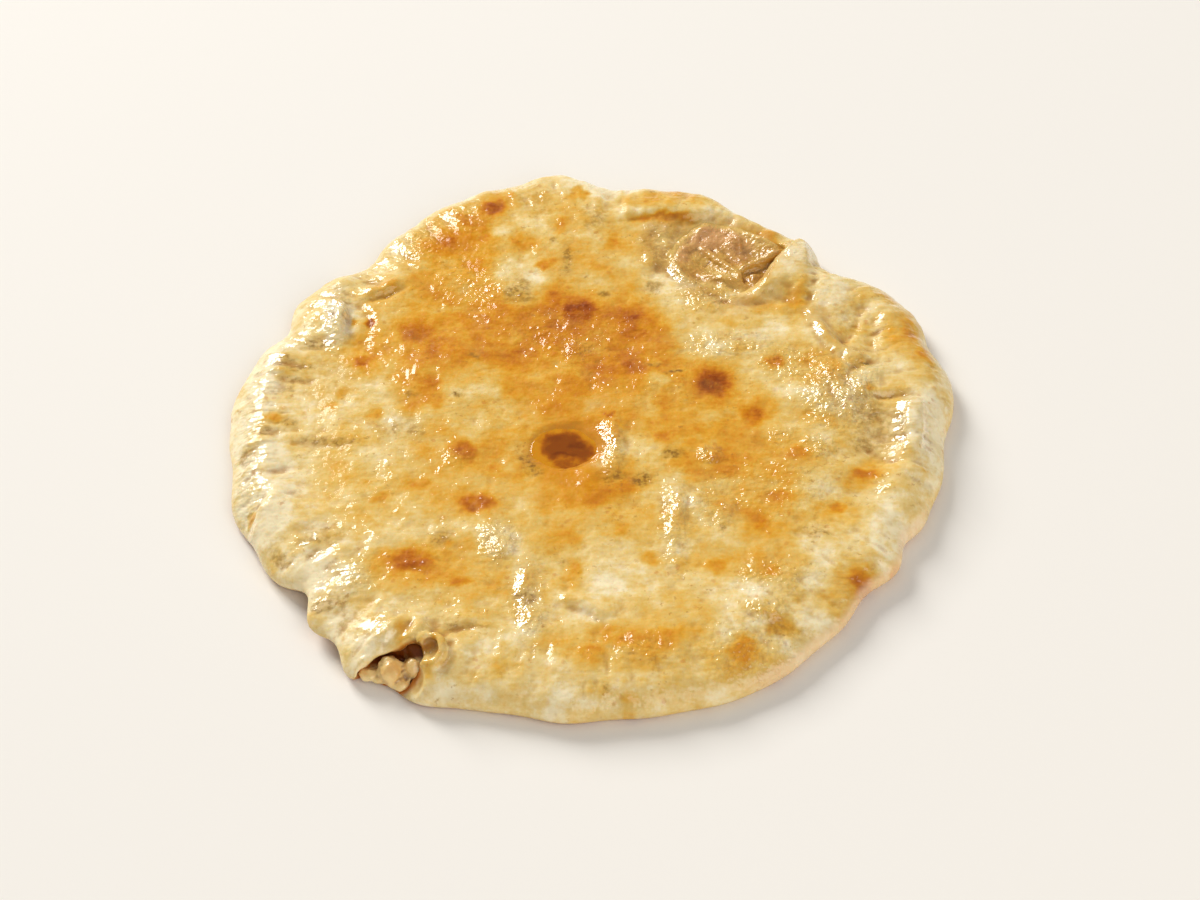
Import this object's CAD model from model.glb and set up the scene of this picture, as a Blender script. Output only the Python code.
# Kubdari, a round filled flatbread, finished for its picture.
# Shapes are worked out in millimetres on the bread's own plan and written in metres.
# Each piece moves from that plan to its place in the frame once it is finished.
import math

import bmesh
import bpy
import numpy as np
from mathutils import Matrix, Vector


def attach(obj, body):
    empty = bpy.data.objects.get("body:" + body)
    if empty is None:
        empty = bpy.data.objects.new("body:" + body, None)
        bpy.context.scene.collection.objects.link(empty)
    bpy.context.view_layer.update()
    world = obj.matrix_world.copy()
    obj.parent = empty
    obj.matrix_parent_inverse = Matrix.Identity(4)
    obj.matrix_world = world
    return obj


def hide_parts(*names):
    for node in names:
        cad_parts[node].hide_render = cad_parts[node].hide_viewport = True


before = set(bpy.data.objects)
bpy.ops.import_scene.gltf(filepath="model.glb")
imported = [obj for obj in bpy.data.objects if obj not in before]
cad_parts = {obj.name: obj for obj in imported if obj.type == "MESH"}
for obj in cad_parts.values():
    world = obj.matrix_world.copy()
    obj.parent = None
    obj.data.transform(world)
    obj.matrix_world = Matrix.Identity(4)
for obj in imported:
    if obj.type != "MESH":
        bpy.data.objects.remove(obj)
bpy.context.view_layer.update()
mm = 0.001
wideLattice = 256  # cells in the pattern of the smallest hills, so that they don't repeat within the bread

# The bread's form, the same rules as the solids follow
bread = {
    "radius": 128.5,
    "middleHeight": 12.4,
    "rimHeight": 9.2,
    "rimSlope": 24.0,
    "pole": (-1.7, -2.2),
    "boxCentre": (0.63, 1.20),
    "lowerCurve": 3.2,
    "upperCurve": 7.5,
    "waist": 0.36,
    # round the outline: angle, push outwards, half width in degrees
    "pushes": [
        (3, 1.0, 5), (8, 6.2, 8), (22, 5.5, 7), (29, 3.5, 4), (40, -8.0, 4.5), (57, -2.2, 5), (71, 5.2, 7),
        (95, 11.0, 7), (108, 7.0, 6), (118, 2.2, 4), (135.5, -9.0, 7), (142, 2.0, 2.5), (156, -5.6, 5),
        (180, 1.4, 7), (187, -1.2, 4), (200, 2.4, 5), (207, -1.0, 4), (214, 0.5, 5), (220, -4.5, 3.5),
        (225, 5.8, 4), (230, -0.8, 3), (235, 9.0, 4.3), (245, 6.3, 6), (262, 3.3, 13), (283, 3.6, 12),
        (296, 3.6, 6), (320, -3.0, 6), (331.5, -3.4, 3.5), (339, -1.0, 6), (352, 0.8, 3),
    ],
    # bands that run round: angle, half width in degrees, height, distance from the edge, half width
    "bands": [
        (8, 44, 3.0, 11, 7), (-8, 28, -1.5, 27, 8), (36, 16, -0.8, 30, 6),
        (180, 40, 1.7, 11, 6), (178, 32, -1.0, 27, 9), (100, 26, 1.2, 9, 7),
        (262, 30, 0.5, 12, 7), (133, 16, -0.8, 12, 10),
    ],
    # swellings and dents: x, y, half length, half width, turn in degrees, height
    "swells": [
        (-8, -21, 17, 15, 0, -1.3),
        (-66, -105, 13, 6, -22, 2.6), (-53, -101, 9, 3, -6, -1.5), (-42, -119, 7, 4, 0, -1.0),
        (-88, -94, 6, 4, 35, -1.7), (-101, -80, 6, 4, -60, 1.3), (-123, -49, 9, 5, 75, -2.6),
        (-22, -90, 4, 2.5, 0, -0.8), (5, -86, 10, 7, 0, 0.9), (-16, -63, 9, 6, 0, 0.5),
        (-24, 62, 13, 11, 0, 0.9), (25, 12, 9, 6, 0, 0.8), (-40, 8, 10, 6, 0, 0.5),
        (75, 2, 10, 8, 0, 0.6), (103, 15, 6, 4, 20, 1.3), (116, -6, 6, 4, 70, 0.9),
        (103, -19, 12, 6, 70, -1.6), (55, -95, 8, 5, -20, 0.8), (-97, 67, 7, 4, 20, 1.0),
        (50, 84, 24, 17, -35, -1.3), (78, 76, 14, 6, 60, 1.9), (92, 48, 12, 5, 70, 0.8),
    ],
    # folds: path, step up on its left, reach of the step, depth of the groove, half width
    "folds": [
        ([(-111, -37), (-115, -44), (-119, -52), (-120, -60), (-116, -68)], 2.4, 9, 1.0, 1.6),
        ([(-87, -75), (-91, -83), (-94, -90)], 0.6, 6, 1.3, 2.2),
        ([(-12, -93), (-6, -95), (-1, -97), (3, -101)], 1.3, 7, 0.6, 1.4),
        ([(-65, -75), (-60, -76), (-55, -78)], 0.5, 5, 0.9, 1.3),
        ([(-59, -69), (-54, -71), (-49, -73)], 0.4, 5, 0.6, 1.2),
        ([(-85, 58), (-79, 60), (-73, 63), (-69, 66)], 1.2, 7, 1.2, 1.7),
        ([(-88, 58), (-85, 53), (-82, 46), (-82, 42)], 0.4, 5, 1.4, 2.0),
        ([(-97, 59), (-93, 50), (-95, 42), (-92, 36)], 0.0, 5, -1.8, 2.6),
        ([(13, 101), (20, 103), (28, 105), (36, 104), (42, 101), (52, 106)], 1.2, 8, 0.5, 1.6),
        ([(82, 90), (76, 82), (70, 73), (66, 66), (61, 58)], 2.2, 7, 0.8, 1.8),
        ([(87, 82), (86, 72), (84, 62), (82, 53), (80, 43)], 1.2, 8, 1.2, 1.8),
        ([(101, 62), (98, 52), (95, 40), (92, 32)], 0.3, 6, 0.7, 2.4),
        ([(107, 48), (104, 38), (101, 29)], 0.3, 6, 0.8, 2.2),
        ([(91, 12), (95, 17), (99, 20), (106, 22)], 1.0, 6, 0.9, 1.6),
        ([(100, 3), (110, 2), (120, 1), (129, 4)], 0.7, 6, 1.0, 1.7),
        ([(106, -37), (115, -38), (124, -37)], 0.5, 6, 1.2, 1.8),
        ([(117, -2), (112, -11), (113, -18), (108, -25), (106, -31)], 1.5, 7, 0.4, 2.0),
        ([(49, -96), (55, -101), (61, -102)], 0.8, 6, 0.9, 1.4),
        ([(-117, 28), (-111, 25), (-105, 23)], 0.3, 5, 0.7, 1.6),
        ([(-117, -10), (-107, -15), (-97, -17), (-87, -17)], 0.3, 6, 0.7, 1.8),
        ([(7, -7), (7, -20), (7, -33)], 0.0, 5, -0.9, 2.6),
    ],
    # hollows under the lifted rim: angle, half width in degrees, depth
    "undercuts": [(222.5, 6.0, 9.0), (228.8, 2.8, 4.0), (318, 10, 1.5)],
    "undercutHeight": 6.5,
    "undercutEdge": (0.80, 0.17),  # shares of the outline's radius where the hollows start, and their run
    # uneven filling under the dough: size of the hills, seed, height
    "lumps": [(27.0, 3, 0.75), (12.0, 4, 0.35)],
    # waves in the outline: height, how many go round, where they start
    "ripples": [(0.5, 19, 0.7), (0.4, 31, 2.1)],
    "foldEnds": (6.0, 0.25),  # how fast a fold fades towards its ends, and what is left at the very end
    "foldBlur": 0.6,  # how gently a fold steps up, in shares of its groove's half width
}


def softStep(value):
    value = np.clip(value, 0.0, 1.0)
    return value * value * (3.0 - 2.0 * value)


def bell(value):
    return np.exp(-value * value)


def plateau(value):  # like the bell, but flatter in the middle and steeper at the sides
    return np.exp(-value ** 4)


def turnGap(angle, centre):
    return (np.degrees(angle) - centre + 180.0) % 360.0 - 180.0


def hills(x, y, cell, seed, lattice=64):  # soft random hills from -1 to 1, about one cell across
    grid = np.random.default_rng(seed).uniform(-1.0, 1.0, (lattice, lattice))
    u = np.asarray(x) / cell + lattice / 2
    v = np.asarray(y) / cell + lattice / 2
    i = np.floor(u).astype(int)
    j = np.floor(v).astype(int)
    s = softStep(u - i)
    t = softStep(v - j)
    low = grid[i % lattice, j % lattice] * (1 - s) + grid[(i + 1) % lattice, j % lattice] * s
    high = grid[i % lattice, (j + 1) % lattice] * (1 - s) + grid[(i + 1) % lattice, (j + 1) % lattice] * s
    return low * (1 - t) + high * t


def roughHills(x, y, cell, seed, octaves=3, finer=0.47, lower=0.55):  # hills with smaller hills on them
    total = 0.0
    size = 1.0
    for octave in range(octaves):
        total = total + size * hills(x, y, cell, seed + octave, wideLattice)
        cell *= finer
        size *= lower
    return total


def layeredHills(x, y, layers, lattice=64):  # layers: size of the hills, seed, height
    return sum(height * hills(x, y, cell, seed, lattice) for cell, seed, height in layers)


def sumRound(angle, rules):
    total = np.zeros_like(angle)
    for centre, size, wide in rules:
        total += size * bell(turnGap(angle, centre) / wide)
    return total


def outlineRadius(angle):
    ripple = sum(size * np.sin(count * angle + shift) for size, count, shift in bread["ripples"])
    return bread["radius"] + sumRound(angle, bread["pushes"]) + ripple


def fromRim(x, y):  # angle about the pole, and how far in from the outline
    dx = x - bread["pole"][0]
    dy = y - bread["pole"][1]
    angle = np.arctan2(dy, dx)
    return angle, outlineRadius(angle) - np.hypot(dx, dy)


def offPole(angle, reach):
    return bread["pole"][0] + reach * np.cos(angle), bread["pole"][1] + reach * np.sin(angle)


def nearPath(x, y, path):  # distance, +1 on the left of its run, place along it
    points = np.array(path, float)
    runs = np.diff(points, axis=0)
    lengths = np.hypot(runs[:, 0], runs[:, 1])
    starts = np.concatenate([[0.0], np.cumsum(lengths)])
    distance = np.full(x.shape, np.inf)
    side = np.ones(x.shape)
    along = np.zeros(x.shape)
    for point, run, length, start in zip(points, runs, lengths, starts):
        dx = x - point[0]
        dy = y - point[1]
        t = np.clip((dx * run[0] + dy * run[1]) / length ** 2, 0.0, 1.0)
        gap = np.hypot(dx - t * run[0], dy - t * run[1])
        closer = gap < distance
        distance = np.where(closer, gap, distance)
        side = np.where(closer, np.where(run[0] * dy - run[1] * dx >= 0, 1.0, -1.0), side)
        along = np.where(closer, (start + t * length) / starts[-1], along)
    return distance, side, along


def foldHeight(x, y, path, step, reach, groove, wide):
    distance, side, along = nearPath(x, y, path)
    fade, remnant = bread["foldEnds"]
    ends = softStep(np.minimum(along, 1.0 - along) * fade + remnant)
    lift = step * 0.5 * (1.0 + np.tanh(side * distance / (bread["foldBlur"] * wide))) * bell(distance / reach)
    return ends * (lift - groove * bell(distance / wide))


def spot(x, y, centreX, centreY, halfX, halfY, turn=0.0):  # 0 at the centre, 1 on the ellipse
    angle = math.radians(turn)
    dx = x - centreX
    dy = y - centreY
    along = dx * math.cos(angle) + dy * math.sin(angle)
    across = dy * math.cos(angle) - dx * math.sin(angle)
    return np.hypot(along / halfX, across / halfY)


def addSwells(height, x, y, swells):
    for *form, size in swells:
        height = height + size * bell(spot(x, y, *form))
    return height


def addFolds(height, x, y, folds):
    for fold in folds:
        height = height + foldHeight(x, y, *fold)
    return height


def topHeight(x, y, creased=True):
    angle, edge = fromRim(x, y)
    rise = bread["middleHeight"] - bread["rimHeight"]
    height = bread["rimHeight"] + rise * softStep(edge / bread["rimSlope"])
    for centre, halfAngle, size, bandInset, halfBand in bread["bands"]:
        window = plateau(turnGap(angle, centre) / halfAngle)
        height = height + size * window * bell((edge - bandInset) / halfBand)
    height = addSwells(height, x, y, bread["swells"])
    for cell, seed, size in bread["lumps"]:
        height = height + size * hills(x, y, cell, seed)
    return addFolds(height, x, y, bread["folds"]) if creased else height


def skinShare(x, y):  # the skin's height as a share of the top's, less than 1 where the side rounds off
    part = np.clip(1.0 - fromRim(x, y)[1] / bread["upperCurve"], 0.0, 1.0)
    return bread["waist"] + (1.0 - bread["waist"]) * np.sqrt(1.0 - part ** 2)


def readPoints(mesh):
    flat = np.empty(len(mesh.vertices) * 3, np.float32)
    mesh.vertices.foreach_get("co", flat)
    return flat.reshape(-1, 3).astype(float)


def writePoints(mesh, points):
    mesh.vertices.foreach_set("co", points.astype(np.float32).ravel())
    mesh.update()


def readNormals(mesh):
    flat = np.empty(len(mesh.vertices) * 3, np.float32)
    mesh.vertices.foreach_get("normal", flat)
    return flat.reshape(-1, 3).astype(float)


def writeValues(mesh, name, values):
    layer = mesh.attributes.get(name) or mesh.attributes.new(name, "FLOAT", "POINT")
    layer.data.foreach_set("value", np.asarray(values, np.float32))


def neighbourMean(mesh, values, rounds):  # values averaged along the edges, a few times over
    ends = np.empty(len(mesh.edges) * 2, np.int32)
    mesh.edges.foreach_get("vertices", ends)
    a = ends[0::2]
    b = ends[1::2]
    count = len(mesh.vertices)
    links = np.bincount(a, minlength=count) + np.bincount(b, minlength=count)
    values = np.asarray(values, float)
    for turn in range(rounds):
        total = np.stack([np.bincount(a, column[b], count) + np.bincount(b, column[a], count)
                          for column in values.T], axis=1)
        values = 0.5 * values + 0.5 * total / np.maximum(links, 1)[:, None]
    return values


def addPiece(name, mesh):
    piece = bpy.data.objects.new(name, mesh)
    bpy.context.scene.collection.objects.link(piece)
    return piece


def bake(piece):  # its modifiers become plain mesh
    graph = bpy.context.evaluated_depsgraph_get()
    piece.data = bpy.data.meshes.new_from_object(piece.evaluated_get(graph))
    piece.modifiers.clear()


def combine(piece, others, operation):
    for other in others:
        cut = piece.modifiers.new("cut", "BOOLEAN")
        cut.operation = operation
        cut.solver = "MANIFOLD"
        cut.object = other
        bake(piece)
    for other in others:
        bpy.data.objects.remove(other)


def remesh(piece, size):
    skin = piece.modifiers.new("skin", "REMESH")
    skin.mode = "VOXEL"
    skin.voxel_size = size
    bake(piece)


def meshFrom(bm, name):
    mesh = bpy.data.meshes.new(name)
    bm.to_mesh(mesh)
    bm.free()
    return mesh


def extrudeFaces(bm, faces):  # gives the corners of the raised copy
    raised = bmesh.ops.extrude_face_region(bm, geom=faces)["geom"]
    return [item for item in raised if isinstance(item, bmesh.types.BMVert)]


def closeUp(bm, weld):
    bmesh.ops.remove_doubles(bm, verts=bm.verts, dist=weld)
    bmesh.ops.recalc_face_normals(bm, faces=bm.faces)


def turnedMesh(name, profile, segments):
    bm = bmesh.new()
    points = [bm.verts.new((reach, 0.0, level)) for reach, level in profile]
    edges = [bm.edges.new(pair) for pair in zip(points, points[1:])]
    bmesh.ops.spin(bm, geom=points + edges, cent=(0, 0, 0), axis=(0, 0, 1), angle=2 * math.pi,
                   steps=segments, use_merge=True)
    closeUp(bm, 0.0001)
    return meshFrom(bm, name)


def discProfile(ring, lowerCurve, upperCurve, waist, arcSteps):
    radius = bread["radius"]
    quarter = [math.pi / 2 * step / arcSteps for step in range(arcSteps + 1)]
    lower = [(radius - lowerCurve * (1 - math.sin(a)), waist * (1 - math.cos(a))) for a in quarter]
    upper = [(radius - upperCurve * (1 - math.cos(a)), waist + (1 - waist) * math.sin(a)) for a in quarter]
    flat = [(radius * share, 0.0) for share in (0.0, 0.5, 0.8)]
    count = round((radius - upperCurve) / ring)
    top = [((radius - upperCurve) * (1 - step / count), 1.0) for step in range(1, count + 1)]
    return flat + lower + upper[1:] + top


# Camera first, at the photograph's angle
view = {
    "target": (0.00296, -0.02199, 0.012),
    "height": 46.42,
    "distance": 0.8246,
    "roll": -1.05,
    "lens": 70,
    "sensor": 36,
}


def makeCamera():
    height = math.radians(view["height"])
    roll = math.radians(view["roll"])
    back = Vector((0, -math.cos(height), math.sin(height)))
    right = Vector((1, 0, 0))
    up = back.cross(right)
    across = right * math.cos(roll) + up * math.sin(roll)
    upright = up * math.cos(roll) - right * math.sin(roll)
    target = Vector(view["target"]) - Vector((*bread["boxCentre"], 0)) * mm
    placed = Matrix((across, upright, back)).transposed().to_4x4()
    placed.translation = target + back * view["distance"]
    lens = bpy.data.cameras.new("camera")
    lens.lens = view["lens"]
    lens.sensor_width = view["sensor"]
    lens.sensor_fit = "HORIZONTAL"
    camera = bpy.data.objects.new("camera", lens)
    camera.matrix_world = placed
    bpy.context.scene.collection.objects.link(camera)
    bpy.context.scene.camera = camera


makeCamera()
print("camera placed")


# The dough
dough = {
    "ring": 1.6,
    "segments": 330,
    "arcSteps": 10,
    "voxel": 0.88 * mm,
    "smoothRounds": 2,
    "ceiling": (15.3, 1.3),  # heights above the first are pressed into the second
    "cutTop": 20.0,  # how high the cutters for the openings reach
    "ventCentre": (-9.0, -20.0),
    "ventHalf": (8.6, 7.6),
    "ventHole": (0.85, 0.08, 4.0),  # share of the vent that is open at the foot of its bowl, wobble, bottom
    "ventBowl": (1.75, 1.0, 2.4),  # where the bowl starts, how far it slopes in shares of the vent, its depth
    "ventRagged": [(6.0, 94, 0.16)],  # size, seed, height
    "burst": [(31, 76), (36, 92), (47, 101), (57, 98), (67, 90), (76, 85), (70, 76), (65, 67), (58, 60),
              (47, 64), (37, 68)],
    "burstFloor": 5.0,
    "outlineSteps": {"burst": 5, "mouth": 4},  # how finely the openings' outlines are rounded
    "burstThinning": (1.7, 8.0),  # how far the skin drops towards the burst, and from how far out
    "burstCrest": [(80, 88), (74, 78), (68, 68), (64, 61)],  # where it stands up instead
    "crestReach": (3.0, 5.0),
    # the tear: the mouth's outline, its floor, and the hollows under the hood as ellipsoids
    "mouth": [
        (-77.4, -118.5), (-77.2, -115.8), (-76.0, -113.9), (-73.6, -112.3), (-71, -110.9), (-68.4, -109.9),
        (-65, -109.0), (-62.0, -107.8), (-59.4, -107.0), (-57.2, -107.8), (-56.4, -110.5), (-56.6, -114.4),
        (-60.0, -116.9), (-61.6, -120.5), (-63.0, -126), (-70, -127), (-76.5, -123),
    ],
    "mouthFloor": 1.9,
    "underHood": [
        ((-66.6, -110.6, 5.0), (9.4, 5.4, 3.9), -8), ((-75.2, -115.4, 2.9), (4.1, 4.2, 4.4), 0),
    ],
    "lip": [
        (-79.2, -116.0, 3.6), (-77.8, -113.6, 7.2), (-75.6, -112.4, 9.2), (-73.2, -111.3, 9.8),
        (-71.0, -110.2, 10.6), (-68.8, -109.6, 10.4), (-66.6, -109.0, 10.9), (-64.2, -108.3, 10.5),
        (-61.8, -107.2, 10.9), (-59.4, -106.5, 10.5), (-57.2, -106.4, 10.6),
    ],
    "lipRadii": (0.75, 1.0),
    "curl": [
        (-57.4, -109.8, 0.0), (-56.4, -107.4, 0.5), (-53.6, -106.5, 1.0), (-50.8, -108.5, 1.3),
        (-49.6, -112.0, 1.3), (-50.8, -115.4, 1.0), (-53.6, -116.6, 0.6), (-56.6, -115.2, -0.2),
    ],
    "curlRadii": (0.9, 1.9),
    "curlBowl": ((-54.2, -111.2, 13.7), (3.7, 4.2, 2.4), 0),
    "lowerLip": ((-62.3, -121.5, 11.6), (7.4, 8.5, 8.8), 0),
    # thin folds that stand up from the skin: path, end radius, middle radius, rise
    "rolls": [
        ([(83, 89), (79, 82), (74, 75), (69, 67), (64.5, 60)], 0.6, 1.0, 0.0),
        ([(32.6, 80), (33.6, 74), (35.4, 69), (40, 64.5)], 0.7, 1.6, 0.1),
        ([(-95, 60), (-93, 52), (-94, 44), (-92, 36)], 0.8, 1.9, -0.5),
        ([(118, 0), (113.5, -10), (113, -19), (109, -29)], 0.7, 1.4, -0.4),
        ([(117.5, -10), (116, -20), (109, -29)], 0.6, 1.1, -0.5),
        ([(-60, -96), (-58.3, -100), (-58, -103.5), (-60.4, -107.2)], 0.7, 1.4, -0.2),
        ([(-113, -38), (-116.5, -45), (-120, -52)], 0.7, 1.3, -0.4),
    ],
    # forms round the tear and the burst that the solids leave plain: path, step, reach, groove, half width
    "fineFolds": [
        ([(-76, -109.8), (-72.6, -106.8), (-68.8, -104), (-65.4, -101), (-63, -97)], 0.0, 5, -2.0, 2.4),
        ([(-59.4, -96), (-57.8, -100), (-57.6, -103.5), (-60, -107)], 0.0, 5, -1.0, 2.2),
        ([(-64.4, -99.5), (-63.8, -103), (-62.4, -106)], 0.0, 5, 0.8, 1.8),
        ([(-57.4, -105.4), (-50.8, -104.4), (-44, -101.9), (-38, -101)], 1.3, 6, 1.2, 1.6),
        ([(-112, -40), (-116, -46), (-120, -52), (-121, -58)], 1.0, 5, 1.8, 1.5),
        ([(13, 101), (20, 102), (28, 103), (36, 102.5), (42, 102), (52, 105)], 0.8, 12, 0.6, 0.9),
        ([(82, 88), (76, 78), (69, 67), (64, 59)], 2.4, 14, 0.2, 1.0),
        ([(80, 47), (83, 60), (85.4, 70), (86.6, 80)], 2.2, 7, 0.3, 1.1),
        ([(72, 62), (76, 56), (80, 52)], 0.0, 5, 0.9, 2.4),
        ([(67, 54), (61, 52), (55, 53), (49, 56), (44, 60)], -1.4, 6, 0.8, 1.3),
        ([(38, 49), (48, 51), (58, 49), (66, 46)], 0.0, 6, -0.9, 2.2),
        ([(34, 76), (35.5, 69), (39, 63)], 0.0, 6, -1.0, 2.6),
        ([(25, 92), (28, 84), (27, 75), (24, 66)], 0.0, 6, 0.8, 3.0),
        ([(91, 29), (96, 34.5), (99.7, 42.3), (103.2, 52)], 0.0, 5, 1.8, 1.5),
        ([(101, 25), (105, 33), (107, 40)], 0.0, 5, 1.5, 1.4),
        ([(92, 38), (95, 47), (98, 56)], 0.0, 5, -0.8, 1.8),
        ([(88, 60), (90, 52), (91, 44)], 0.0, 5, -0.7, 2.0),
        ([(92.5, 11), (95.6, 16), (99, 19.4), (106, 19.6), (112, 21)], 0.7, 5, 1.2, 0.95),
        ([(99, 1), (110, 2), (121, 1.5)], 0.6, 5, 1.2, 1.2),
        ([(100, -8), (107, -6), (112, -9)], 0.3, 5, 0.7, 1.2),
        ([(96, -22), (102, -26), (107, -30)], 0.3, 5, 0.9, 1.4),
        ([(-98, 65), (-93, 67), (-86, 66)], 0.9, 5, 0.9, 1.4),
        ([(-84, 59), (-78, 61), (-71, 66)], 0.8, 5, 1.2, 1.4),
        ([(-12, -92), (-6, -94), (0, -97), (4, -101)], 0.9, 5, 1.0, 1.2),
        ([(-90, -80), (-86, -73), (-84, -66)], 0.0, 5, -1.1, 2.2),
        ([(-102, -80), (-96, -90), (-92, -98)], 0.6, 5, -0.6, 2.0),
        ([(-33, -60), (-31, -68), (-30, -72)], 0.0, 5, -0.8, 1.8),
        ([(-24, -80), (-22, -92), (-21, -104)], 0.0, 5, -0.9, 2.0),
        ([(27, -40), (28, -52), (27, -66), (27, -76)], 0.0, 5, -0.8, 2.0),
    ],
    "fineSwells": [
        (-79, -98, 8, 6, 40, -0.5), (103, 6, 13, 18, 0, 1.9), (32, 112, 20, 6, 4, 0.8),
        (44, 97, 3.4, 2.8, 0, 0.9), (57, 89, 3, 2.6, 0, 0.9), (51, 84, 2.6, 2.2, 0, 0.6),
        (45, 90, 3, 2.4, 0, 0.5), (82.2, 47.5, 2.6, 4.6, 0, 1.7), (72, 49, 3, 2.4, 0, 0.7),
        (68, 90, 5, 3, -30, 0.5), (28, 97, 3.5, 2.6, 0, 0.8), (31, 86, 2.2, 3, 0, 0.8),
        (25, 79, 2.6, 3, 0, 0.6), (30, 76, 2.4, 2, 0, 0.5),
    ],
    # how much lower the left rim rounds off, about which angle, how far round, how far in, half width
    "softRim": (1.2, 182, 32, 3.5, 6.5),
    # fine pleats in the rim: waves, radius they are laid out on, stretch inwards, height, fade in, fade out
    "pleats": {
        "waves": [(3.8, 91, 1.0), (3.8 * 0.45, 92, 0.5)],
        "radius": 110.0,
        "stretch": 0.24,
        "height": 0.52,
        "fadeIn": (1.0, 5.0),
        "fadeOut": (16.0, 18.0),
    },
    # small ridges whose left sides catch the light: x, y, half length, half width, turn, height
    "ridges": [
        (30.5, -48, 8, 2.3, 84, 1.25), (9.2, -20, 9, 2.1, 90, 1.15), (36, -46, 3, 2.2, 80, 0.8),
        (47, -52, 3.4, 2, 80, 0.8), (85.6, 37.5, 4.4, 1.9, 98, 1.6), (87.6, 32.2, 4.6, 2.2, 98, 1.9),
        (90.8, 28.0, 3.6, 2.2, 100, 1.9), (94.6, 24.6, 3.2, 2.0, 100, 1.8), (98.4, 21.4, 3.0, 2.0, 100, 1.7),
        (83, 2, 9, 3.0, 100, 1.15), (90, 6, 11, 3.2, 105, 1.35), (97.5, 5, 10, 3.2, 105, 1.35),
        (94, 57.3, 3, 3, 0, 0.5), (85, 14, 7, 2.6, 100, 0.9), (115, -11, 11, 3.2, 80, 1.4),
        (106, 14, 6, 3, 30, 1.1), (114, -24, 4, 2.4, 60, 0.9), (40, 70, 7, 2.4, 100, 0.9),
        (44.5, -55, 4, 2, 90, 0.6), (-7, 31, 2.5, 2, 0, 0.5), (17, 5, 3, 1.6, 90, 0.5),
        (39, 0, 2, 1.6, 0, 0.4), (43, -27, 2.5, 2.5, 0, 0.5), (28.5, -75, 3, 2, 0, 0.4),
        (-31, -67, 4.5, 3, 80, 0.8), (-23, -82, 5, 2.2, 80, 0.7), (-18, -96, 3.5, 3, 60, 0.7),
        (-13, -85, 2.5, 2, 0, 0.4), (-36, -59, 2.5, 2, 0, 0.4), (-75, -62, 6, 3, 80, 0.7),
        (-80, -75, 4, 3, 60, 0.6), (-82, -48, 3, 2, 90, 0.4), (-98, -72, 3, 2, 80, 0.5),
        (54, 28, 2.5, 2, 0, 0.4), (47, 33, 2, 2, 0, 0.4), (59, -16, 2, 1.6, 90, 0.5),
        (66, -16, 2, 1.5, 90, 0.4), (72, -24, 2, 1.6, 90, 0.4), (80.5, -25, 2.5, 2.3, 90, 0.6),
        (73, 50, 3, 2, 60, 0.5), (88, -60, 4, 1.6, 30, 0.5), (68, -79, 4.5, 2.2, 10, 0.6),
        (61, -97, 5, 4, 40, 0.7), (44.5, 54, 3.5, 2.4, 20, 0.5), (50, 62, 2.5, 2, 0, 0.4),
        (2, 40, 2, 1.6, 0, 0.4), (17, 40, 2, 1.6, 0, 0.4), (-93, 50, 9, 2.4, 100, 0.8),
        (-82, 72, 3.5, 1.8, 20, 0.5), (-32, 50, 3, 2, 0, 0.3), (60, 3, 3, 2.5, 0, 0.4),
        (96, 4, 6, 3, 60, 0.5), (88, 12, 5, 3, 50, 0.5),
    ],
    # speckled places, where fine blisters catch the light: x, y, half width, half height, strength
    "blistered": [
        (28, 86, 8, 14, 0.5), (-118, -2, 7, 30, 0.7), (20, 20, 30, 20, 0.15), (104, 48, 12, 16, 0.2),
        (-66, 94, 10, 12, 0.6), (-48, 104, 12, 8, 0.35), (90, 4, 14, 16, 1.0), (75, 20, 12, 8, 0.8),
        (7, -20, 3.5, 14, 0.5), (28, -56, 4, 20, 0.5), (40, -50, 8, 10, 0.5), (-32, -64, 6, 8, 0.9),
        (-21, -92, 5, 18, 0.5), (-80, -78, 6, 7, 0.8), (113, -15, 6, 16, 0.4), (-120, -15, 5, 38, 0.8),
        (60, -82, 12, 8, 0.6), (57, -96, 6, 5, 0.9), (15, -112, 12, 6, 0.4), (50, -112, 14, 12, 0.5),
        (-5, 38, 22, 14, 0.35), (-5, 30, 4, 4, 0.8), (50, 30, 14, 6, 0.7), (45, 58, 10, 7, 0.8),
        (37, 72, 5, 10, 0.8), (-45, 70, 14, 16, 0.3), (80, -22, 5, 5, 0.9), (42, -26, 4, 4, 0.9),
        (-48, -24, 4, 4, 0.5), (60, -40, 24, 14, 0.35), (68, -16, 5, 4, 0.6), (88, -84, 9, 10, 0.5),
        (110, 30, 8, 16, 0.4), (-71, -103, 4, 4, 0.3), (80, 76, 4, 6, 0.8), (100, 16, 6, 4, 0.8),
        (-94, 48, 4, 14, 0.8), (55, -80, 6, 5, 0.7),
    ],
    "blisters": [(3.3, 11, 0.45, 0.36), (1.9, 12, 0.5, 0.22)],  # spacing, seed, share, height
    "blisterForm": ((0.2, 0.6), (0.30, 0.34), (0.35, 0.65)),  # least and spread of place, width and height
    "blisterAmount": (0.35, 0.65),  # everywhere, and added in the speckled places
    "wrinkles": [(7.0, 21, 0.26), (3.2, 25, 0.14)],  # size, seed, height
    "meatLumps": [(4.6, 97, 0.7), (2.3, 98, 0.35)],  # the same, over the meat that shows through
    "roughUp": (0.15, 0.35),  # how far a face has to look up before it is roughened, and the run
    "roughVent": (0.9, 0.4),  # where the roughness sets in outside the vent, and the run
    "roughBurst": (-1.5, 4.0),  # and outside the burst
}

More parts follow.
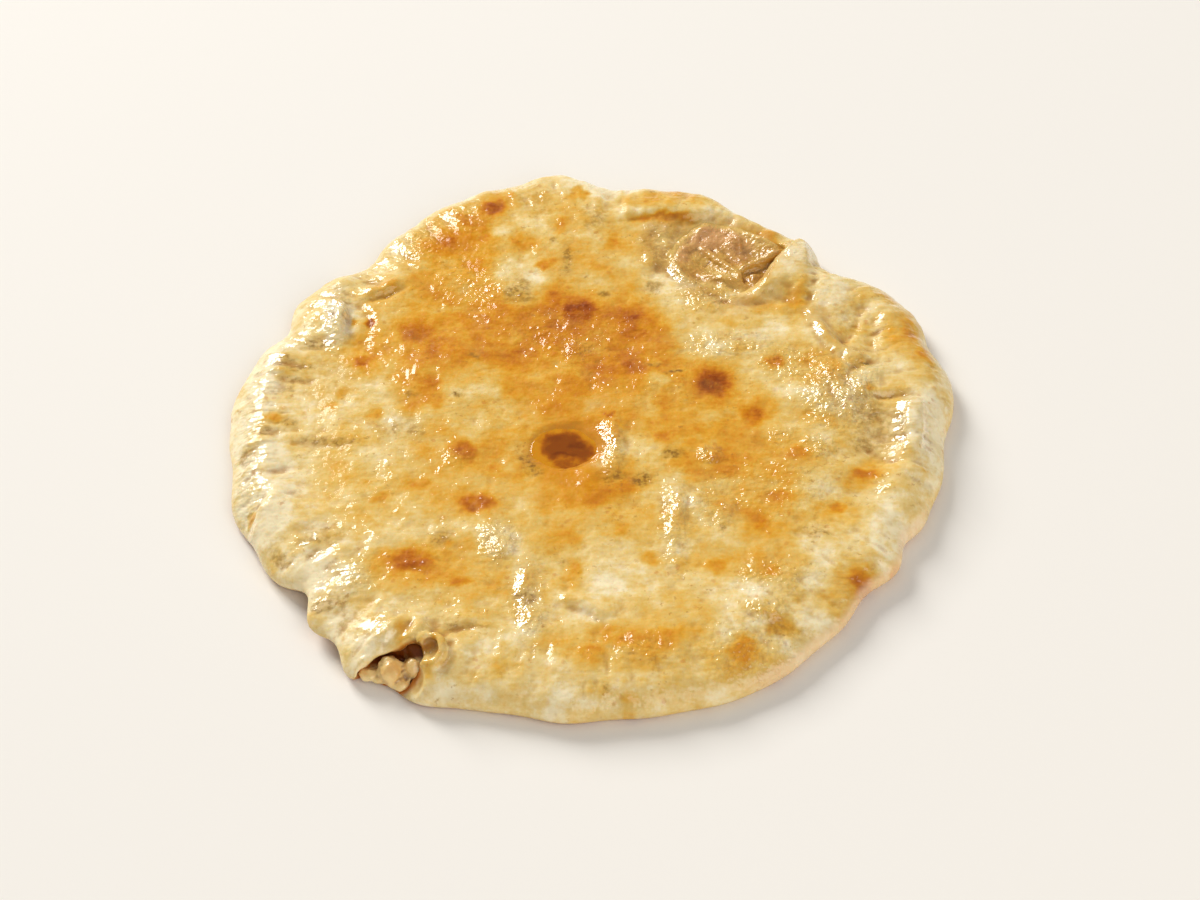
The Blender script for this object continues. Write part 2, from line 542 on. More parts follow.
# Where the dough has browned, thinned and soaked: x, y, half width, half height, strength
tone = {
    "golden": [
        (-15, 42, 46, 28, 0, 1.12), (-46, 20, 14, 12, 0, 0.85), (60, 41, 12, 8, 0, 0.5),
        (10, -124, 22, 8, 0, 0.35), (12, 32, 26, 22, 0, 1.2), (-4, 52, 14, 10, 0, 1.3),
        (-50, 94, 26, 22, 30, 0.72), (-42, 66, 32, 24, 0, 0.85), (-60, 28, 16, 28, 0, 0.85),
        (8, 6, 44, 26, 0, 0.95), (-34, -5, 26, 26, 0, 0.48), (48, 6, 28, 24, 0, 0.38),
        (48, -24, 32, 18, 0, 0.88), (-44, -36, 26, 20, 0, 0.52), (-10, -36, 30, 16, 0, 0.9),
        (0, -58, 36, 12, 0, 0.42), (62, -50, 28, 12, 0, 0.55), (44, -73, 28, 10, 0, 0.42),
        (44, -112, 22, 13, 0, 0.2), (8, -111, 30, 8, 0, 0.5), (88, -86, 13, 13, 0, 0.5),
        (94, -36, 15, 7, 0, 0.55), (-60, -74, 20, 12, 0, 0.62), (-80, -46, 14, 30, 0, 0.28),
        (-80, -12, 13, 12, 0, 0.28), (-40, -80, 12, 10, 0, 0.45), (-84, 30, 12, 12, 0, 0.55),
        (120, 34, 9, 24, 0, 0.6), (76, 15, 15, 9, 0, 0.55), (86, 2, 13, 11, 0, 0.3), (5, 86, 22, 15, 0, 0.45),
        (32, 111, 18, 8, 0, 0.8), (-8, 102, 9, 12, 0, 0.38), (70, 92, 9, 6, -40, 0.6),
        (-113, -3, 8, 6, 0, 0.4), (-44, -120, 12, 6, 0, 0.4),
    ],
    "toasted": [
        (-4, 49, 6, 6, 1.0), (14, 45, 4.5, 4.5, 0.8), (17, 37, 5, 5, 0.8), (3, 18, 3, 2.5, 0.6),
        (-4, 6, 2.5, 2.5, 0.45), (45, 10, 7, 7, 1.0), (58, -6, 4.5, 5, 0.8), (68, 20, 3.5, 3.5, 0.65),
        (26, -16, 3, 2.5, 0.55), (-45, -21, 4.5, 4.5, 0.8), (-40, -47, 6, 4.5, 0.78), (-45, -82, 4, 2, 0.6),
        (-62, -72, 7, 4.5, 0.75), (-58, -77, 2.5, 0.9, 0.5), (-74, -43, 3, 2.5, 0.5),
        (-60, -37, 3.5, 2.5, 0.45), (-65, 40, 6.5, 4.5, 0.7), (-57, 32, 3, 5, 0.5), (-84, 26, 3.5, 2.8, 0.6),
        (-58, 12, 2.5, 5.5, 0.55), (-55, 3, 2.5, 3.5, 0.45), (-37, 110, 4.5, 5, 0.8), (-57, 90, 8, 7, 0.55),
        (-45, 103, 6, 5, 0.45), (-25, 90, 5, 4, 0.5), (-11, 98, 2.5, 4.5, 0.45), (9, 88, 2.5, 3.5, 0.55),
        (-16, 76, 3, 3, 0.5), (-33, 50, 4, 4, 0.4), (-20, 46, 9, 7, 0.35), (-18, 36, 4, 3, 0.3),
        (-4, 118, 3, 4.5, 0.45), (10, -60, 3, 3, 0.4), (20, -72, 3, 3, 0.4), (-7, -80, 2.5, 6.5, 0.5),
        (42, -78, 3, 3, 0.45), (0, -115, 4.5, 3.5, 0.45), (15, -108, 12, 5, 0.45), (49, -112, 5, 6, 0.5),
        (44, -119, 9, 6, 0.25), (56, -118, 8, 4, 0.2), (12, -133, 2.5, 3.5, 0.4), (66, -46, 4.5, 3, 0.6),
        (84, -52, 3, 2.5, 0.55), (57, -57, 3.5, 3.5, 0.5), (60, -80, 3, 2, 0.5), (90, -83, 4, 6, 0.8),
        (72, -26, 3, 3, 0.5), (95, -35, 4.5, 2.5, 0.55), (62, -103, 5, 4, 0.4), (101, 5, 2, 2, 0.55),
        (118, 37, 3, 9, 0.5), (122, 25, 2.5, 4, 0.55), (112, 55, 3, 4, 0.35), (-90, 9, 2.5, 2.5, 0.5),
        (29, 102, 10, 2.2, 0.85), (-64.4, -103.6, 1.8, 3.4, 0.34), (-118.5, -48, 1.4, 3.4, 0.5),
        (-54.8, -108.8, 2.4, 1.2, 0.6), (77, 54, 4, 5, 0.5), (-102, -83, 2.2, 2.2, 0.7),
        (103, -76, 1.6, 4, 0.6), (6, -5, 2, 1.2, 0.9), (67, 93, 5, 2.5, 0.45), (-94, 2, 2.5, 2.5, 0.4),
        (-78, -2, 3, 3, 0.45), (-114, -3, 3, 2.5, 0.45), (-82, 46, 2.5, 2, 1.0), (-88, 46, 1.2, 1.2, 0.7),
    ],
    "clear": [
        (-95, 16, 12, 12, 0.13), (-70, -8, 8, 6, 0.2), (102, -14, 8, 9, 0.28), (64, -104, 6, 4, 0.25),
        (-25, 61, 4, 8, 0.35), (96, 46, 8, 12, 0.12), (2, 103, 4, 7, 0.28), (-20, 114, 6, 7, 0.15),
        (75, -62, 6, 3, 0.2), (-92, -60, 8, 5, 0.22), (-46, -101, 8, 1.6, 0.4), (100, -22, 5, 4, 0.25),
        (-22, -27, 3, 4.5, 0.8), (-20, -32, 3, 2, 0.6), (5, -35, 4.5, 2.5, 0.9), (17, -37, 3.5, 2.5, 0.8),
        (28, -25, 3.8, 2.2, 0.8), (23, 19, 3, 1.2, 0.6), (31, 16, 2.8, 0.8, 0.9), (-43, 27, 2.5, 1, 0.5),
        (-49, 7, 1.3, 1.7, 0.9), (-66, 8, 1.5, 1.5, 0.5), (-107, -6, 2.5, 2.5, 0.7), (-98, -15, 7, 1.8, 0.6),
        (-88, -17, 4, 1.8, 0.8), (-70, -11, 2, 2, 0.5), (-62, -12, 2, 2, 0.5), (-104, 36, 2, 1.8, 0.7),
        (-112, 27, 3, 1.2, 0.7), (-107, 23, 4, 1.2, 0.6), (-95, -63, 6, 2.2, 0.5), (-92, -57, 1, 1, 0.7),
        (-52, -63, 3, 3, 0.5), (-30, -86, 2, 1.2, 0.5), (-22, -90, 3, 2, 0.9), (-10, -73, 1.5, 1.5, 0.4),
        (44, -60, 1.6, 1.6, 0.7), (77, -64, 3, 2, 0.6), (96, -21, 5, 4, 0.5), (4, -127, 1.5, 1.5, 0.6),
        (-8, 79, 2, 8, 0.6), (-13, 91, 2, 2, 0.6), (-1, 68, 1, 1, 0.6), (6, 59, 2.5, 1.5, 0.6),
        (25, 62, 3, 3, 0.5), (-27, 60, 5, 4, 0.6), (2, 102, 4, 3, 0.4), (96, 0, 4, 2, 0.4),
        (100, -8, 5, 4, 0.5),
    ],
    "pale": [
        (-40, 8, 7, 3.5, 0.4), (25, 12, 4, 3, 0.7), (75, 3, 8, 6, 0.5), (-26, 71, 10, 9, 1.3),
        (-26, 62, 9, 8, 1.1), (30, -45, 8, 7, 0.3), (50, -104, 8, 4, 0.35), (-92, -30, 12, 10, 0.04),
        (-114, -28, 8, 10, 0.9), (76, 75, 6, 9, 0.4), (-93, 48, 6, 12, 0.7), (0, 122, 14, 6, 0.5),
        (90, 58, 8, 8, 0.6), (88, -45, 10, 6, 0.3), (38, -28, 5, 5, 0.4), (-78, -62, 8, 8, 0.4),
        (120, -12, 7, 16, 1.0), (-113, -45, 8, 12, 1.0), (-100, -75, 8, 8, 0.6), (62, -104, 10, 5, 0.25),
        (78, -82, 6, 5, 0.2), (-120, 20, 5, 20, 0.6), (-33, 95, 3.5, 3.5, 0.6), (2, 92, 5, 5, 0.4),
        (5, -86, 6, 4, 0.6), (80, -75, 6, 4, 0.4), (55, -90, 5, 4, 0.4), (60, 35, 8, 4, 0.1),
        (91, 62, 5, 4, 0.6),
    ],
    "meatBelow": [
        (28, 86, 7, 14, 0.8), (33, 97, 8, 5, 0.7), (54, 70, 10, 9, 0.7), (46, 60, 9, 6, 0.5),
        (74, 57, 5, 5, 0.5), (50, 84, 20, 15, 1.0), (62, 88, 9, 8, 0.9), (57, 53, 10, 4, 0.6),
        (86, 45, 4, 6, 0.3), (66, 68, 4, 5, 0.7), (77, 68, 5, 8, 0.2), (39, 68, 5, 8, 0.3),
        (50, 47, 10, 3, 0.3), (56, 98, 12, 4, 0.7),
    ],
    "butter": [
        (-8, -20, 14, 12, 1.0), (-6, -34, 14, 7, 1.0), (2, -18, 5, 14, 0.8), (-2, 3, 26, 13, 0.45),
        (-8, -44, 16, 5, 0.6),
    ],
    "dry": [
        (-84, -102, 6, 6, 1.0), (-90, 14, 16, 18, 0.8), (-92, -22, 14, 18, 0.8), (88, 66, 3, 10, 0.8),
        (-84, -40, 12, 12, 0.6), (-80, -98, 4, 5, 0.9), (-74, -93.5, 5, 3.6, 1.0), (-4, -33.5, 4, 3, 1.0),
        (-46, 85, 18, 16, 0.95), (-64, 96, 10, 10, 0.6), (-60, 44, 12, 20, 0.6), (32, 108, 20, 5, 0.8),
        (-119, 0, 8, 40, 0.35), (40, 97, 10, 4, 0.5), (101, 40, 6, 10, 0.9), (109, 34, 6, 8, 0.9),
    ],
    "wet": [
        (86, 37, 3, 6, 1.0), (91, 30, 4, 5, 1.0), (97, 24, 5, 4, 1.0), (82, 47, 3, 5, 1.0),
        (114, -12, 6, 16, 0.8), (-71, -103, 6, 5, 0.7), (30, -48, 3, 9, 0.9), (9.5, -20, 2.4, 8, 0.7),
        (-22, -92, 4, 16, 0.8), (35, 72, 4, 8, 0.7), (90, 2, 9, 10, 0.8), (-52, -111, 4, 5, 0.6),
        (-94, 48, 4, 10, 0.6), (47, -52, 3, 4, 0.8),
    ],
    # how far the outlines of spots stray: size, seed, height, first for broad patches, then for small spots
    "broadStray": (17.0, 81, 82, 7.0),
    "spotStray": ((6.0, 1.3), (1.6, 0.6)),
    "broadFade": (1.25, 0.7),
    "spotFade": (1.45, 0.9),
    "mottle": (9.0, 31, 4),  # size, seed, layers
    "patches": (15.0, 35, 3),
    # shares of the browning
    "plain": 0.16,
    "goldenPart": 0.32,
    "rimPart": (0.10, 26.0),  # how much paler the rim is, and how far in
    "patchPart": (0.07, 0.05),  # everywhere, and added where golden
    "mottlePart": 0.06,
    "halo": (1.7, 0.52, 0.38),  # round the toasted spots: how much wider, the browning it tends to, share
    "toastedPart": (0.54, 0.30),
    "palePart": 0.30,
    "poolRagged": [(4.0, 95, 0.10), (1.8, 96, 0.05)],
    "poolEdge": (0.95, 0.95),
    "creases": (14, 1.1),  # rounds of smoothing that show the hollows, strength
    # the torn crumb in the tear's mouth: middle, stretch, reach and run, and where it ends at the right
    "crumb": ((-67, -112), 1.3, (15.0, 4.0), (-55.0, 2.5)),
    "crumbDepth": (0.9, 1.8),
}


def isleNoise(x, y, cell, seed, share, lattice=wideLattice):  # separate round bumps, one at most to a cell
    place, width, rise = dough["blisterForm"]
    rng = np.random.default_rng(seed)
    shiftX, shiftY, radius, height = rng.uniform(0.0, 1.0, (4, lattice, lattice))
    keep = rng.uniform(0.0, 1.0, (lattice, lattice)) < share
    i = np.floor(x / cell).astype(int)
    j = np.floor(y / cell).astype(int)
    total = np.zeros(x.shape)
    for di in (-1, 0, 1):
        for dj in (-1, 0, 1):
            a = (i + di) % lattice
            b = (j + dj) % lattice
            centreX = (i + di + place[0] + place[1] * shiftX[a, b]) * cell
            centreY = (j + dj + place[0] + place[1] * shiftY[a, b]) * cell
            wide = cell * (width[0] + width[1] * radius[a, b])
            gap = np.clip(1.0 - ((x - centreX) ** 2 + (y - centreY) ** 2) / wide ** 2, 0.0, 1.0)
            total = np.maximum(total, keep[a, b] * (rise[0] + rise[1] * height[a, b]) * gap * gap)
    return total


def curvePoint(corners, t):
    a, b, c, d = [np.array(corner, float) for corner in corners]
    bend = 2 * a - 5 * b + 4 * c - d
    return 0.5 * (2 * b + (c - a) * t + bend * t ** 2 + (3 * b - a - 3 * c + d) * t ** 3)


def roundedOutline(name):
    outline = dough[name]
    steps = dough["outlineSteps"][name]
    count = len(outline)
    return [tuple(curvePoint([outline[(index + offset) % count] for offset in range(-1, 3)], step / steps))
            for index in range(count) for step in range(steps)]


burstLine = roundedOutline("burst")


def burstGap(x, y):  # distance from the burst's edge, negative inside
    distance, side, along = nearPath(x, y, burstLine + burstLine[:1])
    return distance * side


def ventShare(x, y):
    return spot(x, y, *dough["ventCentre"], *dough["ventHalf"])


def lowSide(x, y):  # 1 where the skin runs out smoothly over the meat, 0 where it stands up as a crest
    start, run = dough["crestReach"]
    return softStep((nearPath(x, y, dough["burstCrest"])[0] - start) / run)


def finishedTop(x, y):  # the top with its finer folds, the vent's bowl and the thin skin round the burst
    height = addFolds(topHeight(x, y), x, y, dough["fineFolds"])
    height = addSwells(height, x, y, dough["fineSwells"])
    start, run, depth = dough["ventBowl"]
    ragged = layeredHills(x, y, dough["ventRagged"])
    height = height - depth * softStep((start - ventShare(x, y) + ragged) / run)
    angle, edge = fromRim(x, y)
    depth, centre, halfAngle, inwards, wide = dough["softRim"]
    height = height - depth * plateau(turnGap(angle, centre) / halfAngle) * bell((edge - inwards) / wide)
    drop, reach = dough["burstThinning"]
    return height - drop * softStep(1.0 - burstGap(x, y) / reach) * lowSide(x, y)


def pleatHeight(x, y):  # fine pleats that run in from the rim
    pleats = dough["pleats"]
    angle, edge = fromRim(x, y)
    waves = layeredHills(angle * pleats["radius"], edge * pleats["stretch"], pleats["waves"], wideLattice)
    fadeIn = softStep((edge - pleats["fadeIn"][0]) / pleats["fadeIn"][1])
    fadeOut = softStep((edge - pleats["fadeOut"][0]) / pleats["fadeOut"][1])
    return pleats["height"] * waves * fadeIn * (1.0 - fadeOut)


def shapeOuter(mesh):
    points = readPoints(mesh)
    angle = np.arctan2(points[:, 1], points[:, 0])
    level = points[:, 2]
    rim = outlineRadius(angle)
    reach = np.hypot(points[:, 0], points[:, 1]) * rim / bread["radius"]
    start, run = bread["undercutEdge"]
    edge = softStep((reach / rim - start) / run)
    low = 1.0 - softStep(level * bread["rimHeight"] / bread["undercutHeight"])
    for centre, halfAngle, depth in bread["undercuts"]:
        reach = reach - depth * low * edge * bell(turnGap(angle, centre) / halfAngle)
    x, y = offPole(angle, reach)
    writePoints(mesh, np.stack([x, y, level * finishedTop(x, y)], axis=1) * mm)


def prism(name, outline, low, high):
    bm = bmesh.new()
    face = bm.faces.new([bm.verts.new((x * mm, y * mm, low * mm)) for x, y in outline])
    bmesh.ops.translate(bm, verts=extrudeFaces(bm, [face]), vec=(0, 0, (high - low) * mm))
    bmesh.ops.recalc_face_normals(bm, faces=bm.faces)
    return addPiece(name, meshFrom(bm, name))


def ellipse(centre, half, points, wobble=0.0):
    turns = [2 * math.pi * step / points for step in range(points)]
    return [(centre[0] + half[0] * math.cos(a) * (1 + wobble * math.sin(3 * a + 1)),
             centre[1] + half[1] * math.sin(a) * (1 + wobble * math.sin(2 * a))) for a in turns]


def ball(name, centre, half, turn, seed=0, roughness=0.0, taper=0.0, fineness=4):
    bm = bmesh.new()
    bmesh.ops.create_icosphere(bm, subdivisions=fineness, radius=1.0)
    mesh = meshFrom(bm, name)
    points = readPoints(mesh)
    x, y, z = points.T
    broad = hills(x * 2 + z, y * 2 - z, 1.0, seed)
    fine = hills(x * 6 + z * 3, y * 6 - z * 3, 1.0, seed + 40)
    swell = roughness * (broad + 0.3 * fine)
    points[:, :2] *= (1.0 - taper * z)[:, None]
    writePoints(mesh, points * (1.0 + swell)[:, None])
    mesh.transform(Matrix.Translation([c * mm for c in centre]) @ Matrix.Rotation(math.radians(turn), 4, "Z")
                   @ Matrix.Diagonal([h * mm for h in half] + [1.0]))
    return addPiece(name, mesh)


def onSkin(course):  # a path given above the skin, in heights above the board
    x, y, rise = np.array(course, float).T
    return list(zip(x, y, skinShare(x, y) * finishedTop(x, y) + rise))


def makeRoll(name, path, endRadius, middleRadius, steps=40, roundness=6):
    curve = bpy.data.curves.new(name, "CURVE")
    curve.dimensions = "3D"
    curve.bevel_depth = mm
    curve.bevel_resolution = roundness
    curve.use_fill_caps = True
    spline = curve.splines.new("POLY")
    spline.points.add(steps)
    padded = [path[0]] + path + [path[-1]]
    for step, point in enumerate(spline.points):
        run = step / steps * (len(path) - 1)
        index = min(int(run), len(path) - 2)
        point.co = (*(curvePoint(padded[index:index + 4], run - index) * mm), 1.0)
        point.radius = endRadius + (middleRadius - endRadius) * math.sin(math.pi * step / steps)
    source = addPiece(name, curve)
    bpy.context.view_layer.update()
    mesh = bpy.data.meshes.new_from_object(source.evaluated_get(bpy.context.evaluated_depsgraph_get()))
    bm = bmesh.new()
    bm.from_mesh(mesh)
    closeUp(bm, 0.00001)
    bpy.data.objects.remove(source)
    return addPiece(name, meshFrom(bm, name))


# The room for the filling, a little lower than the solids' own
hollow = {
    "ring": 10.5,
    "lowerCurve": 3.0,
    "upperCurve": 3.0,
    "waist": 0.45,
    "arcSteps": 2,
    "segments": 66,
    "wall": 4.0,
    "pulls": [(221.5, 10.0, 9), (238, 6.5, 7)],  # where the wall is thicker: angle, by how much, half width
    "base": 1.8,
    "roof": 2.2,
    "drop": 0.6,
    "ventDent": (3.4, 11.6, 10.6),  # depth, half width, half height
}


def makeHollow(name, inwards=0.0):
    profile = discProfile(*[hollow[key] for key in ("ring", "lowerCurve", "upperCurve", "waist", "arcSteps")])
    mesh = turnedMesh(name, profile, hollow["segments"])
    points = readPoints(mesh)
    angle = np.arctan2(points[:, 1], points[:, 0])
    room = outlineRadius(angle) - hollow["wall"] - sumRound(angle, hollow["pulls"])
    x, y = offPole(angle, np.hypot(points[:, 0], points[:, 1]) * room / bread["radius"])
    top = topHeight(x, y, creased=False) - hollow["roof"] - hollow["drop"]
    depth, *half = hollow["ventDent"]
    top = top - depth * bell(spot(x, y, *dough["ventCentre"], *half))
    level = hollow["base"] + points[:, 2] * (top - hollow["base"])
    writePoints(mesh, np.stack([x, y, level], axis=1) * mm)
    if inwards:
        writePoints(mesh, readPoints(mesh) - readNormals(mesh) * inwards * mm)
    return addPiece(name, mesh)


def stray(x, y, seed):  # how far the outline of a spot strays
    (size, height), (fineSize, fineHeight) = tone["spotStray"]
    fine = fineHeight * hills(x, y, fineSize, seed + 2, wideLattice)
    return height * roughHills(x, y, size, seed) + fine


def spotField(x, y, spots, blur=1.0):  # the strongest of the spots at each point, with ragged edges
    strayX = x + stray(x, y, 61)
    strayY = y + stray(x, y, 71)
    start, slope = tone["spotFade"]
    total = np.zeros(x.shape)
    for centreX, centreY, halfX, halfY, strength in spots:
        share = spot(strayX, strayY, centreX, centreY, halfX * blur, halfY * blur)
        total = np.maximum(total, strength * softStep(start - share * slope))
    return total


def broadField(x, y, zones):
    size, seedX, seedY, height = tone["broadStray"]
    strayX = x + height * hills(x, y, size, seedX)
    strayY = y + height * hills(x, y, size, seedY)
    start, run = tone["broadFade"]
    total = np.zeros(x.shape)
    for *form, strength in zones:
        total = np.maximum(total, strength * softStep((start - spot(strayX, strayY, *form)) / run))
    return total


def roughenTop(mesh):
    points = readPoints(mesh) / mm
    normals = readNormals(mesh)
    x, y = points[:, :2].T
    rise = addSwells(np.zeros(x.shape), x, y, dough["ridges"])
    everywhere, added = dough["blisterAmount"]
    blistered = everywhere + added * spotField(x, y, dough["blistered"])
    for cell, seed, share, height in dough["blisters"]:
        rise += height * blistered * isleNoise(x, y, cell, seed, share)
    for cell, seed, height in dough["wrinkles"]:
        rise += height * roughHills(x, y, cell, seed, 2)
    rise += pleatHeight(x, y)
    rise += spotField(x, y, tone["meatBelow"]) * layeredHills(x, y, dough["meatLumps"])
    start, run = dough["roughVent"]
    outside = softStep((ventShare(x, y) - start) / run)
    start, run = dough["roughBurst"]
    rise *= outside * softStep((burstGap(x, y) - start) / run)
    start, run = dough["roughUp"]
    points += normals * (softStep((normals[:, 2] - start) / run) * rise)[:, None]
    start, room = dough["ceiling"]
    over = np.maximum(points[:, 2] - start, 0.0)
    points[:, 2] = np.minimum(points[:, 2], start) + room * np.tanh(over / room)
    writePoints(mesh, points * mm)


def creaseDepth(mesh, points, rounds, strength):  # above 0 in hollows, below 0 on bumps
    smoothed = neighbourMean(mesh, points, rounds)
    hollowness = np.einsum("ij,ij->i", smoothed - points, readNormals(mesh))
    return np.clip(hollowness * strength, -1.0, 1.0)


def browning(x, y, edge):
    golden = broadField(x, y, tone["golden"])
    toasted = spotField(x, y, tone["toasted"])
    pale = spotField(x, y, tone["pale"])
    paler, reach = tone["rimPart"]
    rim = 1.0 - softStep(edge / reach)
    mottle = roughHills(x, y, *tone["mottle"])
    patches = roughHills(x, y, *tone["patches"])
    everywhere, added = tone["patchPart"]
    baked = tone["plain"] + tone["goldenPart"] * golden - paler * rim
    baked = baked + (everywhere + added * golden) * patches + tone["mottlePart"] * mottle
    wider, level, share = tone["halo"]
    baked = baked + (level - baked) * share * spotField(x, y, tone["toasted"], wider)
    deep = np.clip(toasted * (0.95 + 0.15 * mottle), 0.0, 1.0)
    level, darker = tone["toastedPart"]
    baked = baked + (level + darker * deep - baked) * deep
    baked = baked - tone["palePart"] * pale * softStep(1.0 - toasted * 2)
    return np.clip(baked, 0.0, 1.0)


def crumbShare(x, y, z):  # the torn inside of the dough, seen in the tear's mouth
    (middleX, middleY), stretch, (reach, run), (right, rightRun) = tone["crumb"]
    shallow, depth = tone["crumbDepth"]
    inner = np.clip((skinShare(x, y) * topHeight(x, y) - z - shallow) / depth, 0.0, 1.0)
    near = softStep((reach - np.hypot(x - middleX, (y - middleY) * stretch)) / run)
    return inner * (near * (0.6 + 0.4 * softStep((right - x) / rightRun)))


def markDough(mesh):
    points = readPoints(mesh) / mm
    x, y, z = points.T
    edge = fromRim(x, y)[1]
    leftRim = softStep((-70 - x) / 25) * (1.0 - softStep((edge - 30.0) / 15.0))
    valleys = 0.55 * softStep((-pleatHeight(x, y) - 0.07) / 0.12)
    streaks = valleys * softStep(0.35 + hills(x, y, 9.0, 93)) * leftRim
    start, run = tone["poolEdge"]
    marks = {
        "bake": browning(x, y, edge),
        "clear": np.maximum(spotField(x, y, tone["clear"]), streaks) * softStep(z / 4),
        "butter": spotField(x, y, tone["butter"], 0.8),
        "pool": 1.0 - softStep((ventShare(x, y) + layeredHills(x, y, tone["poolRagged"]) - start) / run),
        "speckle": spotField(x, y, dough["blistered"]),
        "dry": spotField(x, y, tone["dry"]) - spotField(x, y, tone["wet"]),
        "pleated": (1.0 - softStep((edge - 14.0) / 20.0)) * softStep((np.abs(x) - 60.0) / 30.0),
        "sideBand": softStep((3.5 - edge) / 2.5) * softStep((x - 45) / 15) * softStep((-45 - y) / 10),
        "crease": creaseDepth(mesh, points, *tone["creases"]),
        "crumb": crumbShare(x, y, z),
        "meatBelow": spotField(x, y, tone["meatBelow"]),
        "under": softStep(-readNormals(mesh)[:, 2] * 2.0 - 0.4),
    }
    for name, values in marks.items():
        writeValues(mesh, name, values)


def flattenBase(mesh, level=0.45):  # one flat face below, where it rests
    points = readPoints(mesh) / mm
    low = points[:, 2] < level
    points[low, 2] = 0.0
    writePoints(mesh, points * mm)
    bm = bmesh.new()
    bm.from_mesh(mesh)
    base = [face for face in bm.faces if all(vert.co.z == 0.0 for vert in face.verts)]
    bmesh.ops.dissolve_faces(bm, faces=base, use_verts=True)
    bm.to_mesh(mesh)
    bm.free()


def makeDough():
    curves = [bread[key] for key in ("lowerCurve", "upperCurve", "waist")]
    mesh = turnedMesh("breadDough", discProfile(dough["ring"], *curves, dough["arcSteps"]), dough["segments"])
    shapeOuter(mesh)
    piece = addPiece("breadDough", mesh)
    share, wobble, floor = dough["ventHole"]
    hole = [half * share for half in dough["ventHalf"]]
    vent = prism("ventCutter", ellipse(dough["ventCentre"], hole, 48, wobble), floor, dough["cutTop"])
    burst = prism("burstCutter", burstLine, dough["burstFloor"], dough["cutTop"])
    mouth = prism("mouthCutter", roundedOutline("mouth"), dough["mouthFloor"], dough["cutTop"])
    hollows = [ball("hoodCutter", *form, 5 + index, 0.1) for index, form in enumerate(dough["underHood"])]
    combine(piece, [vent, burst, mouth] + hollows, "DIFFERENCE")
    rolls = [makeRoll("lip", dough["lip"], *dough["lipRadii"]),
             makeRoll("curl", onSkin(dough["curl"]), *dough["curlRadii"])]
    for course, ends, middle, rise in dough["rolls"]:
        rolls.append(makeRoll("fold", onSkin([(x, y, rise) for x, y in course]), ends, middle))
    combine(piece, rolls, "UNION")
    scoops = [ball("bowlCutter", *dough["curlBowl"]), ball("lipCutter", *dough["lowerLip"])]
    combine(piece, scoops, "DIFFERENCE")
    remesh(piece, dough["voxel"])
    writePoints(piece.data, neighbourMean(piece.data, readPoints(piece.data), dough["smoothRounds"]))
    roughenTop(piece.data)
    flattenBase(piece.data)
    print("dough skin", len(piece.data.polygons), "faces")
    combine(piece, [makeHollow("hollow")], "DIFFERENCE")
    markDough(piece.data)
    return piece


